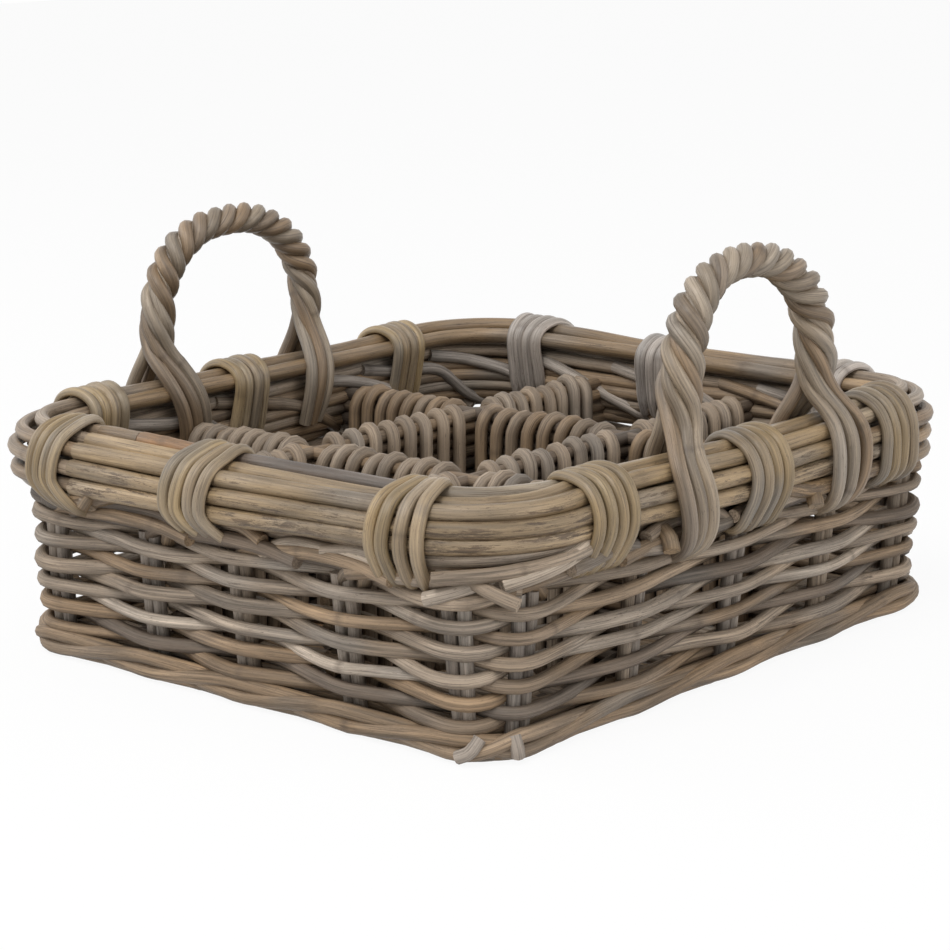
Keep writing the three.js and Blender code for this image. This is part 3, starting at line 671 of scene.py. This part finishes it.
CANE_PLACES = {
    "rim_cane_outer_1": (12.9, 91.8),
    "rim_cane_outer_2": (12.9, 101.2),
    "rim_cane_outer_3": (12.9, 110.6),
    "rim_cane_shoulder": (8.4, 119.8),
    "rim_cane_crown": (-0.9, 123.1),
    "rim_cane_inner": (-9.8, 120.1),
}
CORNER_SPAN = 66  # the grey bends at the two tight corners reach this far either way
BEND_RADIUS = 3.95
BEND_TUCK = 6  # how far the bends go on among the long canes
CANE_TUCK = 12  # and the long canes among the bends
CANE_STEP = 6.0
# How much higher the canes lie near the wide corner, and along the whole front wall
CANE_RISES = {"rim_cane_outer_2": 5.4, "rim_cane_outer_3": 4.0, "rim_cane_shoulder": 2.2}
FRONT_RISES = {
    "rim_cane_inner": 3.6, "rim_cane_crown": -2.2, "rim_cane_shoulder": -2.4,
    "rim_cane_outer_3": -2.0, "rim_cane_outer_2": -1.4,
}
RISE_REACH = 125
FRONT_START = RIM.place("front", -150)
FRONT_END = RIM.place("right", -100)
FRONT_EASES = (40, 60)  # the front's own heights begin and end over these lengths
# The lowest cane lies tucked in behind its neighbour between these, so that only four show outside
TUCK_START = RIM.place("front", -112)
TUCK_END = RIM.place("right", 60)
TUCK_EASE = 50
TUCK_IN = 8
TUCK_UP = 9.5
LEFT_SQUEEZE = 5  # it also lies closer at the left corner
# The canes are darker from the middle of the front wall on
CANE_SHADE_S = [RIM.place("front", -80), RIM.place("front", -15), NEAR_CORNER, RIM.place("right", -90)]
CANE_SHADES = [1.0, 0.8, 0.78, 0.88]


def hump(s, centre, width):
    """1 at a place on the rim, falling smoothly to 0 at a distance."""
    away = (np.asarray(s) - centre + RIM.length / 2) % RIM.length - RIM.length / 2
    return np.exp(-((away / width) ** 2))


def cane_line(name, s):
    """Where a cane's middle runs, as u and z."""
    u, z = CANE_PLACES[name]
    if name == "rim_cane_outer_1":
        s = np.asarray(s, float)
        tucked = soft_step((s - TUCK_START) / TUCK_EASE) * soft_step((TUCK_END - s) / TUCK_EASE)
        left = LEFT_SQUEEZE * hump(s, LEFT_CORNER, 46)
        return u - TUCK_IN * tucked - left, z + TUCK_UP * tucked + left
    near = hump(s, NEAR_CORNER - 20, RISE_REACH)
    s = (np.asarray(s, float) + RIM.length / 2) % RIM.length - RIM.length / 2
    front = soft_step((s - FRONT_START) / FRONT_EASES[0]) * soft_step((FRONT_END - s) / FRONT_EASES[1])
    return u, z + CANE_RISES.get(name, 0) * near + FRONT_RISES.get(name, 0) * front


# Colour and amount of bark of a cane's two long runs, front with right and back with left
CANE_LOOKS = {
    "rim_cane_outer_1": ((CANE_BROWN, 1.0), (CANE_BROWN, 0.8)),
    "rim_cane_outer_2": ((CANE_TAN * 0.97, 0.85), (CANE_BROWN, 0.6)),
    "rim_cane_outer_3": ((CANE_TAN * 0.9, 0.75), (CANE_TAN, 0.5)),
    "rim_cane_shoulder": ((CANE_TAN * 0.94, 0.4), (CANE_BROWN, 0.5)),
    "rim_cane_crown": ((CANE_TAN, 0.25), (CANE_BROWN, 0.45)),
    "rim_cane_inner": ((CANE_PALE, 0.3), (CANE_BROWN, 0.5)),
}
# The inner cane is pieced together along the front: where its joints are, and the pieces' looks
INNER_JOINTS = (-73, -8, 116)
INNER_LOOKS = ((CANE_BROWN * 0.85, 0.3), (CANE_RED, 0.1), (GREY_DARK, 0.1))
JOINT_LAP = 3


def cane_run(rods, name, begin, end, tint, bark):
    s = np.arange(begin, end, CANE_STEP)
    u, z = cane_line(name, s)
    u = u + wander(len(s), 12, 0.4)
    z = z + wander(len(s), 12, 0.4)
    radius = CANE * (1 + wander(len(s), 14, 0.025))
    shade = np.interp(s, CANE_SHADE_S, CANE_SHADES) * (1 + wander(len(s), 8, 0.05))
    barks = bark + 0.3 * hump(s, NEAR_CORNER, 80)
    rods.add(RIM.at(s, u, z), radius, tint * rng.uniform(0.95, 1.05), taper=(1.0, 0.96),
             bark=barks, shade=shade)


def corner_bend(rods, name, corner):
    """The thinner grey piece that turns a cane round one of the two tight corners."""
    reach = CORNER_SPAN + BEND_TUCK
    s = np.arange(corner - reach, corner + reach, 3.0)
    u, z = cane_line(name, s)
    swell = hump(s, corner, 34)
    u = u + swell * rng.uniform(-0.5, 1.6)
    z = z + swell * rng.uniform(-1.5, 1.5)
    tint = pick((2, GREY_ROD), (2, BROWN_ROD), (1, CANE_BROWN))
    rods.add(RIM.at(s, u, z), BEND_RADIUS, tint, bark=0.3)


def make_canes():
    reach = CORNER_SPAN - CANE_TUCK
    left = LEFT_CORNER - RIM.length + reach
    right = RIGHT_CORNER - reach
    for name in CANE_PLACES:
        rods = Rods()
        near_look, far_look = CANE_LOOKS[name]
        begin = left
        if name == "rim_cane_inner":
            for t, look in zip(INNER_JOINTS, INNER_LOOKS):
                end = RIM.place("front", t)
                cane_run(rods, name, begin, end, *look)
                begin = end - JOINT_LAP
        cane_run(rods, name, begin, right, *near_look)
        cane_run(rods, name, RIGHT_CORNER + reach, LEFT_CORNER - reach, *far_look)
        for corner in (LEFT_CORNER, RIGHT_CORNER):
            corner_bend(rods, name, corner)
        rods.make(name.replace("rim_cane", "cane"), cane_look, "cane", name)


# Bindings: half-round strips wound round the rim

STRIP_HEIGHT = 3.7
STRIP_LIFT = 1.1  # a strip's middle lies this far off the canes, every other one a little further
LOOP_STEP = 2.4
LOOP_PASSES = 7
RIGHT_SHADE = 0.86  # the right wall's strips are this much darker
# On each wall, from its middle: where each binding stands, its turns, the step from turn to turn, a
# strip's width, the height of its underside and how far it slants to the right down there
BINDINGS = {
    "front": ((-123, 4, 5.5, 6.0, 91, 13), (-15, 4, 8.9, 7.3, 88.5, 6), (124, 4, 7.2, 7.3, 85, 0)),
    "right": ((-113, 4, 8.4, 7.6, 85, 0), (14, 4, 8.8, 7.8, 80.5, 0), (132, 4, 8.4, 7.6, 83, 0)),
    "back": ((110, 4, 8.4, 7.6, 85, 0), (8, 4, 8.4, 7.6, 85, 0), (-110, 4, 8.4, 7.6, 85, 0)),
    "left": ((130, 4, 8.4, 7.6, 85, 0), (21, 4, 8.4, 7.6, 85, 0), (-112, 4, 8.4, 7.6, 85, 0)),
}


def strip_profile():
    """Round above, nearly flat below, one wide and one high."""
    top = [(math.cos(a) / 2, math.sin(a)) for a in np.linspace(0, math.pi, 10)]
    return np.array(top + [(-0.42, -0.18), (0.42, -0.18)])


def rim_loop(s, distance, underside):
    """The rounded line round canes and border at one distance: (u, z) and the outward (u, z)."""
    circles = [(6.5, underside + 1.5, 1.5), (-5.5, WEAVE_TOP + 4.5, 1.5)]
    for name in CANE_PLACES:
        u, z = cane_line(name, s)
        circles.append((float(u), float(z), CANE))
    line = []
    for angle in np.radians(np.arange(-112, 249, 5)):
        n = (math.cos(angle), math.sin(angle))
        u, z, radius = max(circles, key=lambda c: c[0] * n[0] + c[1] * n[1] + c[2])
        line.append((u + (radius + distance) * n[0], z + (radius + distance) * n[1], 0))
    line = even(np.array(line), LOOP_STEP)[:-1, :2]
    for _ in range(LOOP_PASSES):
        line = (np.roll(line, 1, axis=0) + 2 * line + np.roll(line, -1, axis=0)) / 4
    ahead = np.roll(line, -1, axis=0) - np.roll(line, 1, axis=0)
    outward = np.column_stack([ahead[:, 1], -ahead[:, 0]])
    return line, outward / np.linalg.norm(outward, axis=1)[:, None]


def make_binding(name, side, t, turns, step, width, underside, slant):
    """One binding: strips that pull together inside the rim and slant to the side below it."""
    rods = Rods()
    s_mid = RIM.place(side, t)
    shade = RIGHT_SHADE if side == "right" else 1.0
    for turn in range(turns):
        shift = (turn - (turns - 1) / 2) * step
        lift = STRIP_LIFT + 0.35 * (turn % 2) + rng.uniform(-0.15, 0.25)
        line, outward = rim_loop(s_mid + shift, lift, underside)
        share = np.linspace(-0.5, 0.5, len(line))
        inward = soft_step((8 - line[:, 0]) / 24)
        low = soft_step((104 - line[:, 1]) / 18) * (line[:, 0] > -4)
        s = s_mid + shift * (1 - 0.2 * inward) + share * step * 0.9 + slant * low
        s = s + wander(len(line), 9, 0.35)
        path = RIM.at(s, line[:, 0], line[:, 1])
        facing = RIM.at(s, line[:, 0] + outward[:, 0], line[:, 1] + outward[:, 1]) - path
        narrow = 1 - 0.3 * soft_step((np.abs(share) - 0.4) / 0.1)
        tint = pick((1, BINDING_GREY)) if side == "back" else pick((3, BINDING_TAN), (2, BINDING_BROWN))
        shape = strip_profile() * (width * rng.uniform(0.93, 1.07), STRIP_HEIGHT)
        rods.add(path, narrow, tint, profile=shape, facing=facing, bumps=False, bark=0.25, shade=shade)
    rods.make(name.replace("rim_band", "binding"), binding_look, "binding", name)


def make_bindings():
    for side, places in BINDINGS.items():
        for i, binding in enumerate(places):
            make_binding(f"rim_band_{side}_{i + 1}", side, *binding)


# Handles: twisted strands that splay over the rim

ARCH_HALF_SPAN = 59
ARCH_HEIGHT = 62
ARCH_POWER = 2.3  # above 2, the arch has fuller shoulders than an ellipse
STRANDS = 6
TOP_RADIUS = 5.0  # from the rope's middle line to a strand's, in the tight part
TIGHT_PITCH = 33
LOOSE_PITCH = 100
TIGHT_REACH = 62  # half the length of tight twist, along the arch
LOOSE_REACH = 104
SINK = 3.2  # every other strand lies this much deeper in the tight part
SWELL_START = 12  # this far from the top the rope begins to grow thicker
SWELL_REACH = 50
EASE_PASSES = 30
EASE_BELOW = 160
STRAND_RADII = (4.05, 3.7)
STRAND_STEP = 2.6
LEG_END = 139
TILT_FROM = 180


def arch_line():
    """Middle line of a handle as (t, z), from one leg's end over the top to the other's."""
    spring = HANDLE_TOP - TOP_RADIUS - STRAND_RADII[0] - ARCH_HEIGHT
    angle = np.linspace(math.pi, 0, 120)
    across, up = np.cos(angle), np.abs(np.sin(angle)) ** (2 / ARCH_POWER)
    across = np.sign(across) * np.abs(across) ** (2 / ARCH_POWER)
    arch = np.column_stack([ARCH_HALF_SPAN * across, spring + ARCH_HEIGHT * up])
    leg = np.array([[-ARCH_HALF_SPAN, LEG_END - 0.5]])
    line = np.vstack([leg, arch, leg * (-1, 1)])
    return even(np.column_stack([line, 0 * line[:, 0]]), 2.0)[:, :2]


def twist(line):
    """Turning angle along the line and how loose the twist is there, 0 at the top to 1 at the legs."""
    steps = np.linalg.norm(np.diff(line, axis=0), axis=1)
    run = np.concatenate([[0], np.cumsum(steps)])
    loose = soft_step((np.abs(run - run[-1] / 2) - TIGHT_REACH) / (LOOSE_REACH - TIGHT_REACH))
    pitch = TIGHT_PITCH + (LOOSE_PITCH - TIGHT_PITCH) * loose
    phase = np.concatenate([[0], np.cumsum(steps / pitch[1:])]) * 2 * math.pi
    return phase - phase[len(phase) // 2], loose


def outer_foot(base, side, top, low, step):
    """Over the canes and under them outside, as (t, u, z).

    side is the strand's place in the group, -1 to 1, and step the distance to the next. The group stands
    to the right of the leg, by top over the canes and by low below them.
    """
    return np.array([
        [base + 0.65 * top + 0.65 * side * step, 8.0, 134],
        [base + top + 0.9 * side * step, 15.0, 126.8],
        [base + top + side * step, 20.9, 116],
        [base + (top + low) / 2 + side * step, 22.0, 102],
        [base + low + 0.9 * side * step, 20.0, 86],
        [base + low + 0.6 * side * step, 12.5, 77],
        [base + low + 0.45 * side * step, 3.0, 75.5],
    ])


def inner_foot(base, side, drift, step):
    """Down inside the canes, drifting along the wall, and in among the rods of the border."""
    return np.array([
        [base + 0.15 * drift + 0.75 * side * step, -8.5, 134],
        [base + 0.38 * drift + 0.85 * side * step, -15.4, 126],
        [base + 0.62 * drift + 0.9 * side * step, -19.0, 116],
        [base + 0.88 * drift + 0.85 * side * step, -17.5, 103],
        [base + drift + 0.7 * side * step, -12.0, 90],
    ])


def foot_routes(tips, base, top, low, step, drift):
    """Each strand's way on below the rope: the three outermost go over the rim, the others inside."""
    order = np.argsort([-tip[1] for tip in tips])
    routes = [None] * STRANDS
    for place, k in enumerate(sorted(order[:3], key=lambda k: tips[k][0])):
        routes[k] = outer_foot(base, place - 1, top, low, step)
    for place, k in enumerate(sorted(order[3:], key=lambda k: tips[k][0])):
        routes[k] = inner_foot(base, place - 1, drift, step * 0.85)
    return routes


def ease_feet(path):
    """Rounds the bends where the strands leave the rope and those below."""
    eased = path.copy()
    for _ in range(EASE_PASSES):
        eased[1:-1] = (eased[:-2] + 2 * eased[1:-1] + eased[2:]) / 4
    share = soft_step((EASE_BELOW - path[:, 2]) / 14)[:, None]
    return path * (1 - share) + eased * share


def make_handle(name, node, side, t_mid, leg_radii, swell, tilt, feet):
    """Strands twisted round the arch that splay over and inside the rim.

    leg_radii: the rope's radii at the two legs' ends. swell: how much thicker it is below the shoulders.
    tilt: how far the top leans along the wall. feet: the two legs' numbers for foot_routes.
    """
    rods = Rods()
    line = arch_line()
    phase, loose = twist(line)
    ahead = np.gradient(line, axis=0)
    ahead /= np.linalg.norm(ahead, axis=1)[:, None]
    leg_radius = np.where(line[:, 0] < 0, leg_radii[0], leg_radii[1])
    run = np.arange(len(line)) * np.linalg.norm(line[1] - line[0])
    swollen = swell * soft_step((np.abs(run - run[-1] / 2) - SWELL_START) / SWELL_REACH)
    radius = TOP_RADIUS + swollen + (leg_radius - TOP_RADIUS - swollen) * loose
    line[:, 0] += tilt * np.clip((line[:, 1] - TILT_FROM) / 38, 0, 1) ** 1.5
    middles = []
    for strand in range(STRANDS):
        turn = -(phase + strand * 2 * math.pi / STRANDS)
        distance = radius - (strand % 2) * SINK * (1 - loose) + wander(len(line), 20, 0.2)
        across = distance * np.cos(turn)
        t = line[:, 0] - ahead[:, 1] * across
        z = line[:, 1] + ahead[:, 0] * across
        middles.append(np.column_stack([t, distance * np.sin(turn), z]))
    starts = foot_routes([m[0] for m in middles], -ARCH_HALF_SPAN, *feet[0])
    ends = foot_routes([m[-1] for m in middles], ARCH_HALF_SPAN, *feet[1])
    for strand, (middle, start, end) in enumerate(zip(middles, starts, ends)):
        start = start[::-1] + rng.normal(0, 0.5, start.shape)
        end = end + rng.normal(0, 0.5, end.shape)
        whole = ease_feet(resample(np.vstack([start, middle, end]), STRAND_STEP))
        path = RIM.at(RIM.place(side, t_mid + whole[:, 0]), whole[:, 1], whole[:, 2])
        tint = pick((4, GRIP_GREY), (2, BROWN_ROD))
        rods.add(path, STRAND_RADII[strand % 2], tint, bark=0.2)
    rods.make(name, grip_look, "grip", node)


# Dividers: stacked rods with a rod wound round them

LONG_PLACES = (-58, 54)
CROSS_PLACES = (-70, 62)
DIVIDER_TOP = 104.5
DIVIDER_FOOT = 17.5
DIVIDER_ROD = 3.5
DIVIDER_POINTS = 24
LOOPS = 8  # of the winding in each bay
CROSSING = 10  # half the length left free where two dividers cross


def divider_point(kind, place, s, w, z):
    """A point s along a divider and w to its side."""
    s, w, z = np.broadcast_arrays(np.asarray(s, float), w, z)
    if kind == "long":
        return np.stack([place + w, s, z], axis=-1)
    return np.stack([s, place - w, z], axis=-1)


def make_divider(kind, number, place):
    reach = half_y if kind == "long" else half_x
    rods = Rods()
    for z in np.arange(DIVIDER_FOOT, DIVIDER_TOP - 2, 2 * DIVIDER_ROD):
        end = float(reach(z)) - HALF_WALL + 1.5
        s = np.linspace(-end, end, DIVIDER_POINTS)
        w = wander(DIVIDER_POINTS, 8, 0.6)
        path = divider_point(kind, place, s, w, z + wander(DIVIDER_POINTS, 8, 0.3))
        rods.add(path, DIVIDER_ROD, pick((2, DARK_ROD), (2, BROWN_ROD)))
    rods.make(f"divider_rods_{kind}_{number}", divider_look, "divider", f"divider_{kind}_{number}")


def make_wrap(kind, number, place):
    """One rod wound round a divider, in three bays between the crossings and the walls."""
    reach = half_y if kind == "long" else half_x
    crossings = CROSS_PLACES if kind == "long" else LONG_PLACES
    end = float(reach(13)) - HALF_WALL - 7
    first, second = crossings
    bays = ((-end, first - CROSSING), (first + CROSSING, second - CROSSING), (second + CROSSING, end))
    # The winding's section as (w, z): up one side, over the top, down the other and under
    side = [(7.4, 14), (7.7, 60), (7.7, 92), (6.9, 99.2), (4.3, 103.8)]
    section = side + [(0, 105.6)] + [(-w, z) for w, z in side[::-1]] + [(0, 11.5)]
    rods = Rods()
    route = []
    for low, high in bays:
        corners = LOOPS * len(section)
        sway = rng.normal(0, 0.5, LOOPS + 1)
        tall = rng.normal(0, 0.9, LOOPS + 1)
        for i in range(corners):
            w, z = section[i % len(section)]
            turn = i // len(section)
            s = low + (high - low) * (i + 0.5) / corners
            high_up = soft_step((z - 60) / 40)
            route.append(divider_point(kind, place, s + sway[turn] * high_up, w, z + tall[turn] * high_up))
    rods.add(resample(route, 3.6), WRAP, pick((3, GREY_ROD), (3, BROWN_ROD)), bumps=False)
    rods.make(f"divider_wrap_{kind}_{number}", wrap_look, "wrapping", f"divider_{kind}_wrap_{number}")


def make_dividers():
    for kind, places in (("long", LONG_PLACES), ("cross", CROSS_PLACES)):
        for number, place in enumerate(places, 1):
            make_divider(kind, number, place)
            make_wrap(kind, number, place)


# Base: rods woven over and under pairs of base sticks

BASE_STICKS = (-123.2, -61.6, 0, 61.6, 123.2)
BASE_ROWS = 36
BASE_MIDDLE = 5.0
BASE_REACH = (157, 172)
BASE_STICK = 2.1
BASE_ROD = 2.4
BASE_WAVE = 1.7
BASE_EDGE = (-5.2, 6.9, 3.4)  # u, z and radius of the rod round the base's edge


def make_base():
    """Pairs of rods along X, over and under pairs of sticks along Y, in the rows of the CAD model."""
    rods = Rods()
    across, along = BASE_REACH
    for x in BASE_STICKS:
        for half in (-BASE_STICK, BASE_STICK):
            y = np.linspace(-along - 4, along + 4, 16)
            stick = np.column_stack([x + half + wander(16, 6, 0.2), y, BASE_MIDDLE + 0 * y])
            rods.add(stick, BASE_STICK, pick((2, GREY_ROD), (1, DARK_ROD)))
    pitch = 2 * along / BASE_ROWS
    for row in range(BASE_ROWS):
        way = 1 if row % 2 == 0 else -1
        knots = np.array([-across, *BASE_STICKS, across])
        swing = way * np.array([0, 1, -1, 1, -1, 1, 0])
        x = np.arange(-across, across + 1, 5.0)
        i = np.clip(np.searchsorted(knots, x, side="right") - 1, 0, len(knots) - 2)
        share = soft_step((x - knots[i]) / (knots[i + 1] - knots[i]))
        rise = swing[i] * (1 - share) + swing[i + 1] * share
        for half in (-0.25, 0.25):
            y = -along + (row + 0.5 + half) * pitch
            path = np.column_stack([x, y + wander(len(x), 8, 0.16), BASE_MIDDLE + BASE_WAVE * rise])
            rods.add(path, BASE_ROD, weave_tint(), bumps=False)
    plain_ring(rods, *BASE_EDGE)
    rods.make("base_rods", weave_look, "weave", "base_panel")


# Studio

CAMERA_PLACE = (952.06, -1080.25, 411.82)
CAMERA_YAW = 41.4816
CAMERA_PITCH = 12.8144
CAMERA_ROLL = -1.0116
FOCAL_PIXELS = 2684.8
PHOTO_SIDE = 950
LAMP_TARGET = (0, 0, 0.08)
# Lamps as name, place, size and power
LAMPS = (
    ("key", (0.4, -1.5, 2.2), 1.4, 34),
    ("left_fill", (-1.8, -0.9, 1.3), 1.4, 12),
    ("right_fill", (1.9, 0.4, 1.0), 1.2, 9),
)
SKY_LIGHT = 0.55
FLOOR_HALF = 6
FLOOR_DROP = 0.0005
FLOOR_GLOW = 0.92  # the rest is its shading, with the basket's shadow


def make_camera():
    yaw, pitch, roll = map(math.radians, (CAMERA_YAW, CAMERA_PITCH, CAMERA_ROLL))
    ahead = Vector((-math.sin(yaw) * math.cos(pitch), math.cos(yaw) * math.cos(pitch), -math.sin(pitch)))
    right = ahead.cross(Vector((0, 0, 1))).normalized()
    up = right.cross(ahead)
    turned = right * math.cos(roll) + up * math.sin(roll)
    risen = up * math.cos(roll) - right * math.sin(roll)
    camera = bpy.data.objects.new("camera", bpy.data.cameras.new("camera"))
    camera.data.lens = camera.data.sensor_width * FOCAL_PIXELS / PHOTO_SIDE
    camera.data.clip_end = 50
    axes = Matrix((turned, risen, -ahead)).transposed().to_4x4()
    camera.matrix_world = Matrix.Translation(Vector(CAMERA_PLACE) * MM) @ axes
    bpy.context.collection.objects.link(camera)
    bpy.context.scene.camera = camera


def area_lamp(name, place, size, power):
    lamp = bpy.data.lights.new(name, "AREA")
    lamp.size = size
    lamp.energy = power
    holder = bpy.data.objects.new(name, lamp)
    holder.location = place
    holder.rotation_euler = (Vector(LAMP_TARGET) - Vector(place)).to_track_quat("-Z", "Y").to_euler()
    bpy.context.collection.objects.link(holder)


def seen_directly(tree):
    """1 for camera, mirror and glass rays, which see the plain white backdrop."""
    path = tree.nodes.new("ShaderNodeLightPath")
    total = path.outputs["Is Camera Ray"]
    for other in ("Is Glossy Ray", "Is Transmission Ray"):
        node = tree.nodes.new("ShaderNodeMath")
        node.operation = "MAXIMUM"
        tree.links.new(total, node.inputs[0])
        tree.links.new(path.outputs[other], node.inputs[1])
        total = node.outputs[0]
    return total


def make_studio():
    world = bpy.data.worlds.new("studio")
    bpy.context.scene.world = world
    world.use_nodes = True
    tree = world.node_tree
    sky = tree.nodes["Background"]
    sky.inputs["Color"].default_value = (1, 1, 1, 1)
    sky.inputs["Strength"].default_value = SKY_LIGHT
    seen = tree.nodes.new("ShaderNodeBackground")
    seen.inputs["Color"].default_value = (1, 1, 1, 1)
    blend = tree.nodes.new("ShaderNodeMixShader")
    tree.links.new(seen_directly(tree), blend.inputs[0])
    tree.links.new(sky.outputs[0], blend.inputs[1])
    tree.links.new(seen.outputs[0], blend.inputs[2])
    tree.links.new(blend.outputs[0], tree.nodes["World Output"].inputs["Surface"])
    for lamp in LAMPS:
        area_lamp(*lamp)
    make_floor()


def make_floor():
    mesh = bpy.data.meshes.new("floor")
    corners = [(x * FLOOR_HALF, y * FLOOR_HALF, 0) for x, y in ((-1, -1), (1, -1), (1, 1), (-1, 1))]
    mesh.from_pydata(corners, [], [(0, 1, 2, 3)])
    floor = bpy.data.objects.new("floor", mesh)
    floor.location.z = -FLOOR_DROP
    bpy.context.collection.objects.link(floor)
    material = bpy.data.materials.new("pale_floor")
    material.use_nodes = True
    tree = material.node_tree
    shader = tree.nodes["Principled BSDF"]
    shader.inputs["Base Color"].default_value = (0.9, 0.9, 0.9, 1)
    shader.inputs["Roughness"].default_value = 0.9
    shader.inputs["Specular IOR Level"].default_value = 0.1
    glow = tree.nodes.new("ShaderNodeEmission")
    both = tree.nodes.new("ShaderNodeMixShader")
    share = tree.nodes.new("ShaderNodeMath")
    share.operation = "MULTIPLY"
    share.inputs[1].default_value = FLOOR_GLOW
    tree.links.new(seen_directly(tree), share.inputs[0])
    tree.links.new(share.outputs[0], both.inputs[0])
    tree.links.new(shader.outputs[0], both.inputs[1])
    tree.links.new(glow.outputs[0], both.inputs[2])
    tree.links.new(both.outputs[0], tree.nodes["Material Output"].inputs["Surface"])
    floor.data.materials.append(material)


make_camera()
make_weave()
make_foot()
make_stakes()
make_border()
make_canes()
make_bindings()
make_handle("handle_rope_right", "handle_right", "right", t_mid=19, leg_radii=(8.8, 7.9), swell=2.5,
            tilt=-6, feet=((-14, -8, 10, 11), (6, 4, 12, -7)))
make_handle("handle_rope_left", "handle_left", "left", t_mid=22, leg_radii=(5.8, 6.9), swell=1.0,
            tilt=0, feet=((-6, -3, 9, 11), (-5, 3, 11, -14)))
make_dividers()
make_base()
make_studio()

bpy.context.scene.view_settings.view_transform = "Standard"
